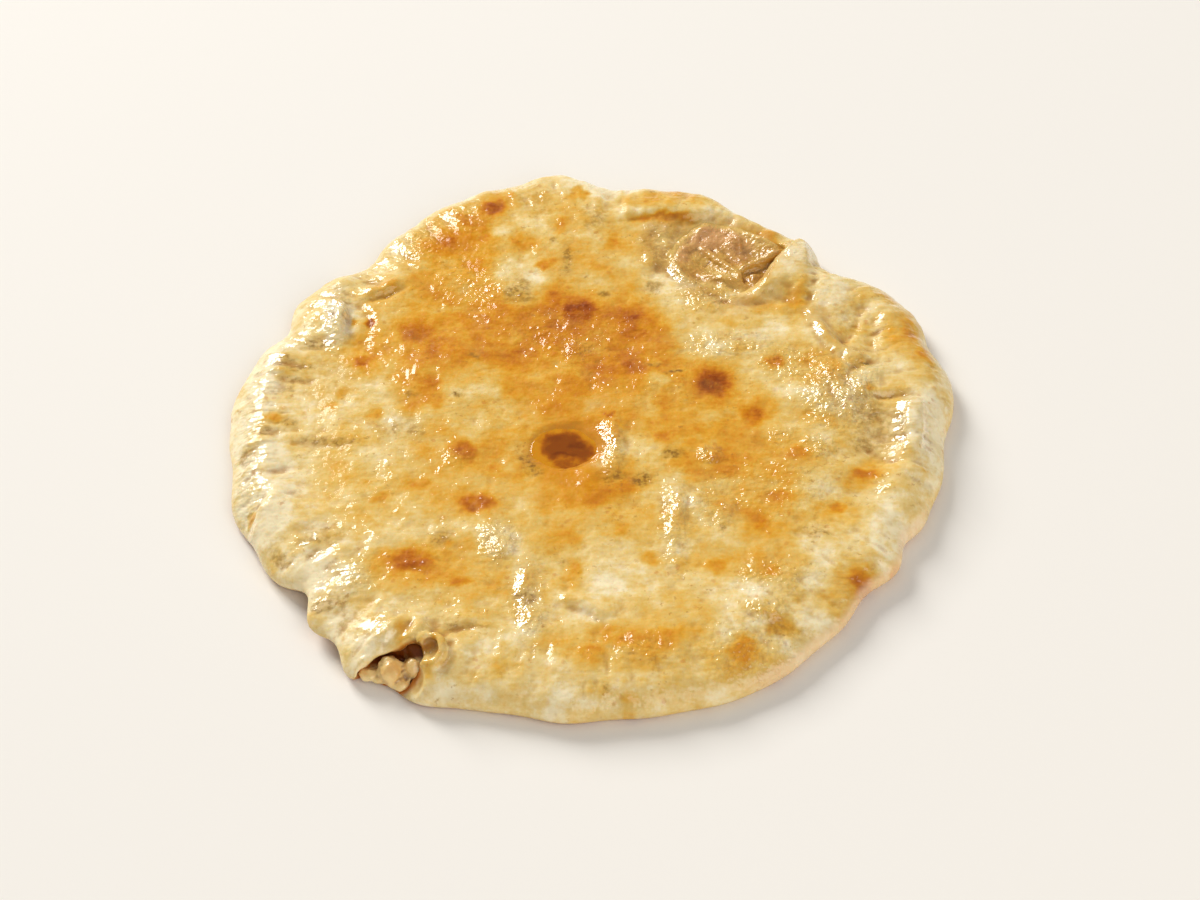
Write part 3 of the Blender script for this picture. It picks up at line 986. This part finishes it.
# The meat inside, with finer lumps where it shows
meat = {
    "gap": 0.5,
    "tearChunks": [
        ((-66.8, -113.8, 5.0), (5.0, 5.0, 5.4), 14, 0.15), ((-59.4, -113.0, 5.2), (4.3, 4.4, 4.2), -12, -0.1),
        ((-74.3, -113.2, 2.9), (4.4, 3.1, 2.8), -14, 0.1), ((-63.4, -117.6, 2.6), (3.6, 2.8, 2.2), 20, 0.0),
        ((-67.0, -109.4, 2.2), (10.5, 5.2, 2.6), -8, 0.0), ((-70.9, -113.4, 2.3), (4.2, 3.8, 2.6), 5, 0.0),
        ((-67.6, -111.8, 7.2), (3.3, 2.3, 2.3), 0, 0.0),
    ],
    "ventChunks": [((-13.0, -17.5, 6.2), (3.6, 3.2, 2.0), 0, 0), ((-6.0, -23.0, 5.8), (4.0, 2.6, 2.2), 30, 0),
                   ((-12.0, -24.5, 5.6), (3.4, 2.4, 2.2), -20, 0)],
    "roughness": 0.2,
    # folds of the meat in the burst: path, step, reach, groove, half width
    "creases": [
        ([(76, 82), (72, 77), (66, 74), (60, 73), (60, 67), (63, 61)], 0.0, 5, 3.2, 1.5),
        ([(40, 80), (46, 76), (52, 70), (57, 65)], 0.0, 6, 0.9, 4.0),
        ([(50, 99), (56, 95), (63, 88)], 0.4, 5, 0.8, 1.3),
    ],
    "bumps": [
        (44.5, 98, 3.6, 3.0, 20, 2.5), (56.5, 92, 2.6, 3.2, 0, 2.2), (49, 81, 6, 5, -40, -1.2),
        (67, 90, 4, 2.4, -30, 1.5), (54, 66, 7, 3, -25, 1.6), (47, 91, 3, 3, 0, 1.4), (69, 79, 5, 2, 20, 1.2),
    ],
    # folds of skin over the meat: path, end radius, middle radius, rise
    "rolls": [
        ([(34, 80), (36.4, 86), (40.4, 90), (42, 95)], 0.9, 2.1, -0.5),
        ([(41, 91), (45, 87), (50, 81), (55, 75), (58, 71)], 0.8, 2.0, -0.6),
        ([(42, 71), (48, 69), (54, 66), (60, 61.5), (65, 58)], 0.9, 2.2, -0.4),
        ([(59, 75.5), (65, 78), (70, 80), (74, 84)], 0.7, 1.6, 0.3),
        ([(55, 94), (57.5, 90), (58, 86)], 0.6, 1.2, 0.0), ([(49, 88), (51, 84), (54, 81)], 0.5, 1.1, 0.0),
        ([(60, 96), (66, 91), (71, 88)], 0.6, 1.2, -0.2),
    ],
    "voxel": 0.55 * mm,
    # small hollows and strands in the cooked meat: size, seed, height, and the height of them all
    "pits": (2.4, 71, 72, 0.6, 0.32),
    "lumps": [(9.0, 51, 1.0), (4.5, 55, 0.8), (2.2, 58, 0.30)],
    "reach": 3.2,  # how far the meat runs on under the edge of the dough
    "grid": 0.5,
    "burstBase": 6.0,
    "burstDrop": (0.3, 2.3),  # how far the meat lies below the skin, and how much more along the crest
    "skirt": 2.6,  # how far below the skin its edge dives under the crest
    # the film of skin over its edge: rise, how far it sinks outwards, from where, over what run
    "film": (0.3, 0.9, 0.5, 3.5),
    "filmLumps": (4.2, 66, 0.60),
    "creaseLook": (8, 1.6),  # rounds of smoothing that show the hollows, strength
    # pinker meat in the burst: x, y, half width, half height, strength
    "pink": [(45, 95, 11, 8, 1.0), (58, 90, 6, 8, 0.7), (36, 86, 3, 7, 0.8)],
    "tearRoom": ((-67, -113), (16, 14), 0.05, 14.0),  # middle, half size, lift off the mouth's floor, top
    "deep": (-67, -108, 12.0, 3.0),  # the shaded back of the tear: x, y, reach and run
}


def chunk(name, centre, halfSizes, turn, taper, seed):
    return ball(name, centre, halfSizes, turn, seed, meat["roughness"], taper, 1)


def joinChunks(name, rules, seed):
    chunks = [chunk(name, *rule, seed + index) for index, rule in enumerate(rules)]
    combine(chunks[0], chunks[1:], "UNION")
    return chunks[0]


def soften(piece, rounds):
    remesh(piece, meat["voxel"])
    writePoints(piece.data, neighbourMean(piece.data, readPoints(piece.data), rounds))


def pit(piece):
    normals = readNormals(piece.data)
    x, y, z = readPoints(piece.data).T / mm
    size, seed, fineSeed, fineHeight, height = meat["pits"]
    coarse = hills(x + 0.7 * z, y - 0.7 * z, size, seed, wideLattice)
    fine = hills(x - z, y + 0.4 * z, size * 0.5, fineSeed, wideLattice)
    rise = (coarse + fineHeight * fine) * height * mm
    writePoints(piece.data, readPoints(piece.data) + normals * rise[:, None])


def burstMeatHeight(x, y):
    low = lowSide(x, y)
    gap = burstGap(x, y)
    top = finishedTop(x, y)
    drop, crestDrop = meat["burstDrop"]
    height = top - drop - crestDrop * (1.0 - low)
    for cell, seed, size in meat["lumps"]:
        height = height + size * roughHills(x, y, cell, seed, 1)
    height = addFolds(height, x, y, meat["creases"])
    height = addSwells(height, x, y, meat["bumps"])
    rise, sink, start, run = meat["film"]
    cell, seed, size = meat["filmLumps"]
    film = top + rise - sink * softStep((gap + start) / run) + size * roughHills(x, y, cell, seed, 2)
    inside = softStep(-gap / 5.0)
    edge = film * low + (inside * height + (1 - inside) * (top - meat["skirt"])) * (1.0 - low)
    return height * inside + edge * (1.0 - inside)


def makeBurstMeat():
    bm = bmesh.new()
    xs, ys = zip(*dough["burst"])
    middle = ((min(xs) + max(xs)) / 2, (min(ys) + max(ys)) / 2)
    half = ((max(xs) - min(xs)) / 2 + 2, (max(ys) - min(ys)) / 2 + 2)
    steps = [round(2 * size / meat["grid"]) for size in half]
    bmesh.ops.create_grid(bm, x_segments=steps[0], y_segments=steps[1], size=1.0)
    place = Matrix.Translation((*middle, 0)) @ Matrix.Diagonal((*half, 1.0, 1.0))
    bmesh.ops.transform(bm, matrix=place, verts=bm.verts)
    x, y = np.array([vert.co[:2] for vert in bm.verts]).T
    outside = [vert for vert, gap in zip(bm.verts, burstGap(x, y)) if gap > meat["reach"]]
    bmesh.ops.delete(bm, geom=outside, context="VERTS")
    top = set(extrudeFaces(bm, bm.faces[:]))
    for vert in bm.verts:
        vert.co.z = 1.0 if vert in top else 0.0
    bmesh.ops.recalc_face_normals(bm, faces=bm.faces)
    mesh = meshFrom(bm, "burstMeat")
    points = readPoints(mesh)
    x, y, level = points.T
    points[:, 2] = np.where(level > 0.5, burstMeatHeight(x, y), meat["burstBase"])
    writePoints(mesh, points * mm)
    block = addPiece("burstMeat", mesh)
    rolls = []
    for course, ends, middle, rise in meat["rolls"]:
        x, y = np.array(course, float).T
        rolls.append(makeRoll("skinFold", list(zip(x, y, burstMeatHeight(x, y) + rise)), ends, middle))
    combine(block, rolls, "UNION")
    soften(block, 3)
    return block


def makeMeat():
    piece = makeHollow("meatFilling", meat["gap"])
    tear = joinChunks("tearChunk", meat["tearChunks"], 20)
    soften(tear, 2)
    pit(tear)
    middle, half, lift, top = meat["tearRoom"]
    room = prism("mouthFloor", ellipse(middle, half, 24), dough["mouthFloor"] + lift, top)
    combine(tear, [room], "INTERSECT")
    vent = joinChunks("ventChunk", meat["ventChunks"], 40)
    combine(piece, [tear, vent, makeBurstMeat()], "UNION")
    points = readPoints(piece.data) / mm
    x, y, z = points.T
    gap = burstGap(x, y)
    deepX, deepY, reach, run = meat["deep"]
    nearDeep = softStep((reach - np.hypot(x - deepX, y - deepY)) / run)
    marks = {
        "crease": creaseDepth(piece.data, points, *meat["creaseLook"]),
        "inBurst": softStep((4.0 - gap) / 2.0),
        "edgeSkin": softStep((gap + 4.0) / 4.0) * lowSide(x, y),
        "pink": spotField(x, y, meat["pink"]),
        "inVent": softStep((1.6 - ventShare(x, y)) / 0.4),
        "deep": nearDeep * softStep((y + 112.0) / 3.0 + softStep((3 - z) / 2)),
    }
    for name, values in marks.items():
        writeValues(piece.data, name, values)
    return piece


# Melted butter standing in the vent
butter = {
    "level": 10.8,
    "bottom": 7.9,
    "grow": (1.5, 0.78),  # its size at the top and at the bottom, in shares of the vent
    "sides": 64,
    "rings": 18,
    # the brown depths and the red glow in it: x, y, half width, half height, strength
    "brown": [(-10.0, -15.8, 7.0, 5.4, 1.0), (-5.5, -20.5, 5.8, 6.2, 1.0), (-12.0, -21.0, 5.6, 5.6, 1.0),
              (-7.0, -27.5, 7.5, 4.5, 0.55)],
    "dark": [(-5.0, -18.0, 3.0, 2.2, 0.9), (-10.8, -23.4, 3.6, 0.9, 0.8), (-13.2, -14.8, 2.6, 1.6, 0.35)],
}


def makeButter():
    bm = bmesh.new()
    bmesh.ops.create_circle(bm, cap_ends=True, cap_tris=True, segments=butter["sides"], radius=1.0)
    spokes = [edge for edge in bm.edges if min(vert.co.length for vert in edge.verts) < 0.5]
    bmesh.ops.subdivide_edges(bm, edges=spokes, cuts=butter["rings"], use_grid_fill=True)
    bmesh.ops.translate(bm, verts=extrudeFaces(bm, bm.faces[:]), vec=(0, 0, 1))
    bmesh.ops.recalc_face_normals(bm, faces=bm.faces)
    mesh = meshFrom(bm, "butterPool")
    points = readPoints(mesh)
    top = points[:, 2] > 0.5
    share = np.where(top, *butter["grow"])
    x = dough["ventCentre"][0] + points[:, 0] * dough["ventHalf"][0] * share
    y = dough["ventCentre"][1] + points[:, 1] * dough["ventHalf"][1] * share
    z = np.where(top, butter["level"], butter["bottom"])
    writePoints(mesh, np.stack([x, y, z], axis=1) * mm)
    for name in ("brown", "dark"):
        writeValues(mesh, name, spotField(x, y, butter[name], 0.9))
    return addPiece("butterPool", mesh)


def settle(piece):  # from the plan it was drawn on to its place in the frame
    points = readPoints(piece.data) - np.array([*bread["boxCentre"], 0.0]) * mm
    writePoints(piece.data, points)
    piece.data.shade_smooth()


# Colours and finishes
def srgb(red, green, blue):
    linear = [((c / 255 + 0.055) / 1.055) ** 2.4 if c > 10 else c / 255 / 12.92 for c in (red, green, blue)]
    return (*linear, 1.0)


class Nodes:  # short ways to place and join shader nodes
    def __init__(self, tree):
        self.tree = tree

    def add(self, kind, inputs=(), **settings):
        node = self.tree.nodes.new("ShaderNode" + kind)
        for name, value in settings.items():
            setattr(node, name, value)
        for name, value in dict(inputs).items():
            self.give(node.inputs[name], value)
        return node

    def give(self, socket, value):
        if isinstance(value, bpy.types.NodeSocket):
            self.tree.links.new(value, socket)
        else:
            socket.default_value = value

    def maths(self, operation, a, b=0.0, clamp=False):
        node = self.add("Math", {0: a, 1: b}, operation=operation, use_clamp=clamp)
        return node.outputs[0]

    def plus(self, *values):
        total = values[0]
        for value in values[1:]:
            total = self.maths("ADD", total, value)
        return total

    def times(self, a, b, clamp=False):
        return self.maths("MULTIPLY", a, b, clamp)

    def mix(self, factor, a, b):
        node = self.add("Mix", data_type="RGBA")
        for index, value in ((0, factor), (6, a), (7, b)):
            self.give(node.inputs[index], value)
        return node.outputs[2]

    def tint(self, factor, colour, paint):  # towards one plain colour
        return self.mix(factor, colour, srgb(*paint))

    def ramp(self, factor, stops):
        node = self.add("ValToRGB", {0: factor})
        elements = node.color_ramp.elements
        while len(elements) < len(stops):
            elements.new(0.5)
        for element, (place, colour) in zip(elements, stops):
            element.position = place
            element.color = srgb(*colour)
        return node.outputs[0]

    def noise(self, place, scale, detail=3.0, roughness=0.55):
        settings = {"Vector": place, "Scale": scale, "Detail": detail, "Roughness": roughness}
        return self.add("TexNoise", settings).outputs[0]

    def attribute(self, name):
        return self.add("Attribute", attribute_name=name).outputs["Fac"]

    def place(self):
        return self.add("TexCoord").outputs["Object"]

    def range(self, value, low, high, outLow=0.0, outHigh=1.0):
        return self.add("MapRange", {0: value, 1: low, 2: high, 3: outLow, 4: outHigh}).outputs[0]

    def relief(self, shader, height, strength, distance):  # for the surface and for the wet coat on it
        bump = self.add("Bump", {"Strength": strength, "Distance": distance, "Height": height})
        for socket in ("Normal", "Coat Normal"):
            self.give(shader.inputs[socket], bump.outputs[0])


def newMaterial(name, **settings):
    made = bpy.data.materials.new(name)
    made.use_nodes = True
    nodes = Nodes(made.node_tree)
    shader = made.node_tree.nodes["Principled BSDF"]
    for socket, value in settings.items():
        shader.inputs[socket.replace("_", " ")].default_value = value
    return made, nodes, shader


def makeGroup(name, build, inputs, outputs):
    tree = bpy.data.node_groups.new(name, "ShaderNodeTree")
    for label, kind in inputs:
        tree.interface.new_socket(label, in_out="INPUT", socket_type=kind)
    for label, kind in outputs:
        tree.interface.new_socket(label, in_out="OUTPUT", socket_type=kind)
    nodes = Nodes(tree)
    made = build(nodes, tree.nodes.new("NodeGroupInput").outputs)
    out = tree.nodes.new("NodeGroupOutput")
    for socket, value in zip(out.inputs, made):
        tree.links.new(value, socket)
    return tree


# What the dough and the meat share; noises: scale, detail, roughness
skin = {
    # tan meat seen through a thin wet skin
    "thin": [(0.30, (170, 116, 40)), (0.44, (202, 150, 64)), (0.56, (216, 170, 82)), (0.70, (228, 194, 108))],
    "thinShade": (146, 102, 34),
    "thinBroad": (105.0, 3.0, 0.6),
    "thinFine": (420.0, 3.0, 0.6),
    # pores, fine blisters and short wrinkles
    "grain": (330.0, 4.0, 0.62),
    "fine": (950.0, 2.0, 0.6),
    "wrinkle": (560.0, 1.5, 0.5),
    "soft": (400.0, 1.0, 0.5),
    "rounded": (600.0, 0.6, 0.5),
    "pleated": (520.0, 0.8, 0.5),
    "stretch": (0.28, 1.0, 1.0),
}


def thinSkinTree(nodes, given):
    broad = nodes.noise(given["Place"], *skin["thinBroad"])
    fine = nodes.noise(given["Place"], *skin["thinFine"])
    shade = nodes.range(fine, 0.5, 0.7, 0.0, 0.35)
    return [nodes.tint(shade, nodes.ramp(broad, skin["thin"]), skin["thinShade"])]


def skinReliefTree(nodes, given):  # puts the relief out as a height in millimetres, and its noises
    place = given["Place"]
    stretched = nodes.add("Mapping", {"Vector": place, "Scale": skin["stretch"]}).outputs[0]
    grain = nodes.noise(place, *skin["grain"])
    fine = nodes.noise(place, *skin["fine"])
    wrinkle = nodes.noise(stretched, *skin["wrinkle"])
    drawn = nodes.times(given["Pleats"], 0.85)
    soft = nodes.times(nodes.noise(place, *skin["soft"]), 0.34)
    rounded = nodes.plus(nodes.noise(place, *skin["rounded"]), nodes.times(fine, 0.32))
    pleated = nodes.times(nodes.noise(stretched, *skin["pleated"]), 1.1)
    bumps = nodes.plus(nodes.times(rounded, nodes.maths("SUBTRACT", 1.0, drawn)), nodes.times(pleated, drawn))
    sparks = nodes.times(bumps, nodes.range(given["Speckle"], 0.0, 1.0, 0.13, 1.2))
    height = nodes.plus(soft, nodes.times(wrinkle, 0.14), sparks)
    return [nodes.times(height, given["Rough"]), grain, fine, wrinkle]


def sockets(kind, *names):
    return [(name, "NodeSocket" + kind) for name in names]


placeInput = sockets("Vector", "Place")
reliefInputs = placeInput + sockets("Float", "Speckle", "Pleats", "Rough")
thinSkin = makeGroup("thinSkin", thinSkinTree, placeInput, sockets("Color", "Colour"))
skinRelief = makeGroup("skinRelief", skinReliefTree, reliefInputs,
                       sockets("Float", "Height", "Grain", "Fine", "Wrinkle"))


def useGroup(nodes, tree, *values):
    node = nodes.tree.nodes.new("ShaderNodeGroup")
    node.node_tree = tree
    for socket, value in zip(node.inputs, values):
        nodes.give(socket, value)
    return node.outputs


# Colours are red, green and blue up to 255; noises are scale, detail, roughness
crust = {
    "browning": [
        (0.00, (250, 234, 192)), (0.12, (240, 212, 144)), (0.25, (230, 189, 97)), (0.40, (227, 167, 50)),
        (0.52, (218, 144, 22)), (0.65, (199, 117, 13)), (0.78, (168, 84, 8)), (0.90, (136, 59, 5)),
        (1.00, (102, 40, 3)),
    ],
    "blotch": (130.0, 3.0, 0.6),
    "sage": (214, 186, 112),  # duller places in the pale dough
    "sagePatches": (115.0, 2.0, 0.5),
    "dots": (198, 124, 36),
    "dotScale": 230.0,
    "dotPatches": (70.0, 2.0),
    "clear": (188, 144, 56),  # see-through places, with the meat's flecks in them
    "flecks": (122, 80, 20),
    "fleckNoise": (520.0, 2.5, 0.6),
    "specks": (170, 116, 40),
    "speckNoise": (480.0, 2.0, 0.6),
    "speckPatches": (60.0, 2.0),
    "buttered": (216, 144, 12),
    "pool": (220, 146, 20),
    "crumb": (184, 104, 26),
    "sideBand": (244, 212, 172),
    "crease": (166, 108, 38),
    "pan": [(0.30, (228, 196, 124)), (0.50, (208, 154, 74)), (0.68, (162, 96, 36)), (0.80, (112, 60, 22))],
    "panPatches": (60.0, 5.0, 0.6),
    "wetPatches": (130.0, 2.0),
    "bump": (1.0, 0.001),
}


def doughMaterial():
    made, nodes, shader = newMaterial("bakedDough", Subsurface_Weight=0.08, Subsurface_Scale=0.003,
                                      Specular_IOR_Level=0.12, Coat_Roughness=0.04, IOR=1.45, Coat_IOR=1.6)
    place = nodes.place()
    pool = nodes.attribute("pool")
    relief = useGroup(nodes, skinRelief, place, nodes.attribute("speckle"), nodes.attribute("pleated"),
                      nodes.range(pool, 0.2, 0.9, 1.0, 0.1))
    grain, fine, wrinkle = relief["Grain"], relief["Fine"], relief["Wrinkle"]
    blotch = nodes.noise(place, *crust["blotch"])
    bake = nodes.attribute("bake")
    crease = nodes.attribute("crease")
    toned = bake
    for pattern, sway in ((blotch, 0.06), (grain, 0.035), (wrinkle, 0.025), (fine, 0.02)):
        toned = nodes.plus(toned, nodes.range(pattern, 0.35, 0.65, -sway, sway))
    toned = nodes.plus(toned, nodes.range(crease, -0.5, 0.0, 0.08, 0.0))
    colour = nodes.ramp(toned, crust["browning"])
    sage = nodes.range(nodes.noise(place, *crust["sagePatches"]), 0.53, 0.62)
    colour = nodes.tint(nodes.times(sage, nodes.range(bake, 0.1, 0.45, 0.30, 0.06)), colour, crust["sage"])
    cells = nodes.add("TexVoronoi", {"Vector": place, "Scale": crust["dotScale"]})
    dots = nodes.plus(cells.outputs["Distance"], nodes.range(fine, 0.3, 0.7, -0.12, 0.12))
    dotted = nodes.range(nodes.noise(place, *crust["dotPatches"]), 0.50, 0.64, 0.0, 0.5)
    colour = nodes.tint(nodes.times(nodes.range(dots, 0.12, 0.26, 1.0, 0.0), dotted), colour, crust["dots"])
    clear = nodes.attribute("clear")
    colour = nodes.tint(nodes.times(clear, 0.75), colour, crust["clear"])
    flecks = nodes.range(nodes.noise(place, *crust["fleckNoise"]), 0.44, 0.60, 0.0, 0.95)
    colour = nodes.tint(nodes.times(clear, flecks), colour, crust["flecks"])
    patch = nodes.range(nodes.noise(place, *crust["speckPatches"]), 0.46, 0.62)
    specks = nodes.range(nodes.noise(place, *crust["speckNoise"]), 0.62, 0.70, 0.0, 0.5)
    colour = nodes.tint(nodes.times(specks, patch), colour, crust["specks"])
    colour = nodes.tint(nodes.times(nodes.attribute("butter"), 0.78), colour, crust["buttered"])
    colour = nodes.tint(nodes.range(pool, 0.05, 0.60, 0.0, 0.92), colour, crust["pool"])
    below = nodes.times(nodes.attribute("meatBelow"), nodes.range(blotch, 0.35, 0.6, 0.8, 1.1), clamp=True)
    colour = nodes.mix(below, colour, useGroup(nodes, thinSkin, place)[0])
    colour = nodes.tint(nodes.attribute("crumb"), colour, crust["crumb"])
    colour = nodes.tint(nodes.times(nodes.attribute("sideBand"), 0.6), colour, crust["sideBand"])
    colour = nodes.tint(nodes.range(crease, 0.04, 0.45, 0.0, 0.72), colour, crust["crease"])
    pan = nodes.plus(nodes.noise(place, *crust["panPatches"]), nodes.range(grain, 0.3, 0.7, -0.1, 0.1))
    colour = nodes.mix(nodes.attribute("under"), colour, nodes.ramp(pan, crust["pan"]))
    nodes.give(shader.inputs["Base Color"], colour)
    nodes.give(shader.inputs["Roughness"], nodes.range(blotch, 0.35, 0.65, 0.5, 0.32))
    wetness = nodes.range(nodes.noise(place, *crust["wetPatches"]), 0.35, 0.6, 0.15, 0.7)
    wetness = nodes.maths("MINIMUM", nodes.plus(wetness, nodes.attribute("speckle"), pool), 1.0)
    dry = nodes.attribute("dry")  # above 0 where it is dry, below 0 where butter glints
    wetness = nodes.plus(wetness, nodes.range(dry, -1.0, 0.0, 1.0, 0.0))
    wetness = nodes.times(wetness, nodes.range(dry, 0.0, 1.0, 1.0, 0.08))
    nodes.give(shader.inputs["Coat Weight"], nodes.times(wetness, nodes.range(bake, 0.5, 0.75, 1.0, 0.5)))
    nodes.relief(shader, relief["Height"], *crust["bump"])
    return made


stew = {
    "meat": [
        (0.30, (232, 182, 104)), (0.46, (246, 208, 134)), (0.60, (252, 222, 154)), (0.75, (254, 232, 176)),
    ],
    "blotch": (150.0, 3.0, 0.6),
    "grain": (190, 132, 66),
    "pink": (214, 160, 100),
    "edgeSkin": (224, 184, 100),
    "crease": (112, 60, 18),
    "deep": (140, 66, 14),
    "hooded": (108, 52, 10),
    "vent": ((160, 62, 14), (96, 36, 8)),
    # the dark meat under the tear's hood, in metres: where it sets in and ends
    "hoodFront": (-0.1142, -0.1124),
    "hoodBack": (-0.100, -0.098),
    "hoodLeft": (-0.0650, -0.0625),
    "hoodFloor": (0.0070, 0.0085),
    "bump": (0.8, 0.0008),
}


def meatMaterial():
    made, nodes, shader = newMaterial("cookedMeat", Subsurface_Weight=0.08, Subsurface_Scale=0.002,
                                      Specular_IOR_Level=0.35, Coat_Roughness=0.15, IOR=1.45, Coat_IOR=1.6)
    place = nodes.place()
    inBurst = nodes.attribute("inBurst")
    relief = useGroup(nodes, skinRelief, place, inBurst, 0.0, 1.0)
    blotch = nodes.noise(place, *stew["blotch"])
    split = nodes.add("SeparateXYZ", {"Vector": place}).outputs
    front = nodes.range(split["Y"], *stew["hoodFront"])
    back = nodes.range(split["Y"], *stew["hoodBack"], 1.0, 0.0)
    left = nodes.range(split["X"], *stew["hoodLeft"])
    floor = nodes.range(split["Z"], *stew["hoodFloor"])
    hooded = nodes.times(nodes.times(front, back), nodes.times(left, floor))
    colour = nodes.ramp(blotch, stew["meat"])
    colour = nodes.tint(nodes.range(relief["Grain"], 0.55, 0.75, 0.0, 0.4), colour, stew["grain"])
    film = nodes.tint(nodes.attribute("pink"), useGroup(nodes, thinSkin, place)[0], stew["pink"])
    film = nodes.tint(nodes.attribute("edgeSkin"), film, stew["edgeSkin"])
    colour = nodes.mix(inBurst, colour, film)
    colour = nodes.tint(nodes.range(nodes.attribute("crease"), 0.05, 0.5, 0.0, 0.9), colour, stew["crease"])
    colour = nodes.tint(nodes.attribute("deep"), colour, stew["deep"])
    colour = nodes.tint(hooded, colour, stew["hooded"])
    vent = nodes.mix(nodes.range(relief["Grain"], 0.4, 0.65), *[srgb(*paint) for paint in stew["vent"]])
    colour = nodes.mix(nodes.attribute("inVent"), colour, vent)
    nodes.give(shader.inputs["Base Color"], colour)
    nodes.give(shader.inputs["Roughness"], nodes.range(blotch, 0.35, 0.65, 0.42, 0.26))
    nodes.give(shader.inputs["Coat Weight"], nodes.range(hooded, 0.0, 1.0, 0.6, 0.05))
    nodes.relief(shader, relief["Height"], *stew["bump"])
    return made


amber = {
    "shades": [(0.08, (222, 148, 20)), (0.32, (208, 130, 12)), (0.58, (178, 98, 9)), (0.92, (150, 76, 8))],
    "glow": (106, 42, 2),
    "cloud": (260.0, 3.0, 0.6),
}


def butterMaterial():
    made, nodes, shader = newMaterial("meltedButter", Roughness=0.06, IOR=1.46, Transmission_Weight=0.12,
                                      Specular_IOR_Level=0.4, Subsurface_Weight=0.1, Subsurface_Scale=0.002)
    cloud = nodes.noise(nodes.place(), *amber["cloud"])
    brown = nodes.plus(nodes.attribute("brown"), nodes.range(cloud, 0.35, 0.65, -0.16, 0.16))
    dark = nodes.times(nodes.attribute("dark"), nodes.range(cloud, 0.35, 0.6, 0.85, 0.4))
    colour = nodes.tint(dark, nodes.ramp(brown, amber["shades"]), amber["glow"])
    nodes.give(shader.inputs["Base Color"], colour)
    return made


doughPiece = makeDough()
print("dough", len(doughPiece.data.polygons), "faces")
meatPiece = makeMeat()
print("meat", len(meatPiece.data.polygons), "faces")
butterPiece = makeButter()
for piece, node, slot, finish in (
    (doughPiece, "dough", "dough", doughMaterial()),
    (meatPiece, "filling", "filling", meatMaterial()),
    (butterPiece, "butter", "butter", butterMaterial()),
):
    settle(piece)
    piece.data.materials.clear()
    piece.data.materials.append(finish)
    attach(piece, "root")
    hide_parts(node)
print("pieces finished")

# Floor and light
studio = {
    "floor": (243, 240, 235),
    "floorSize": 3.0,
    "floorDrop": 0.00005,
    "world": (0.96, 0.98, 1.0, 1.0),
    "worldStrength": 0.28,
    # lights: where each comes from, distance, size, power, colour
    "lights": {
        "key": ((-0.506, 0.698, 0.506), 4.0, 1.7, 167.0, (1.0, 0.97, 0.92)),
        "fill": ((0.50, -0.66, 0.60), 2.5, 2.2, 34.0, (1.0, 0.93, 0.84)),
    },
}


def makeFloor():
    bm = bmesh.new()
    bmesh.ops.create_grid(bm, x_segments=1, y_segments=1, size=studio["floorSize"])
    floor = addPiece("floor", meshFrom(bm, "floor"))
    made, nodes, shader = newMaterial("paleFloor", Base_Color=srgb(*studio["floor"]), Roughness=0.9)
    floor.data.materials.append(made)
    floor.data.transform(Matrix.Translation((0, 0, -studio["floorDrop"])))


def areaLight(name, direction, distance, size, power, colour):
    lamp = bpy.data.lights.new(name, "AREA")
    lamp.shape = "SQUARE"
    lamp.size = size
    lamp.energy = power
    lamp.color = colour
    light = bpy.data.objects.new(name, lamp)
    way = Vector(direction).normalized()
    light.rotation_mode = "QUATERNION"
    light.rotation_quaternion = way.to_track_quat("Z", "Y")
    light.location = way * distance
    bpy.context.scene.collection.objects.link(light)


def makeWorld():
    world = bpy.data.worlds.new("studio")
    world.use_nodes = True
    background = world.node_tree.nodes["Background"].inputs
    background["Color"].default_value = studio["world"]
    background["Strength"].default_value = studio["worldStrength"]
    bpy.context.scene.world = world
    bpy.context.scene.view_settings.view_transform = "Standard"


makeFloor()
for name, settings in studio["lights"].items():
    areaLight(name, *settings)
makeWorld()
print("studio lit")
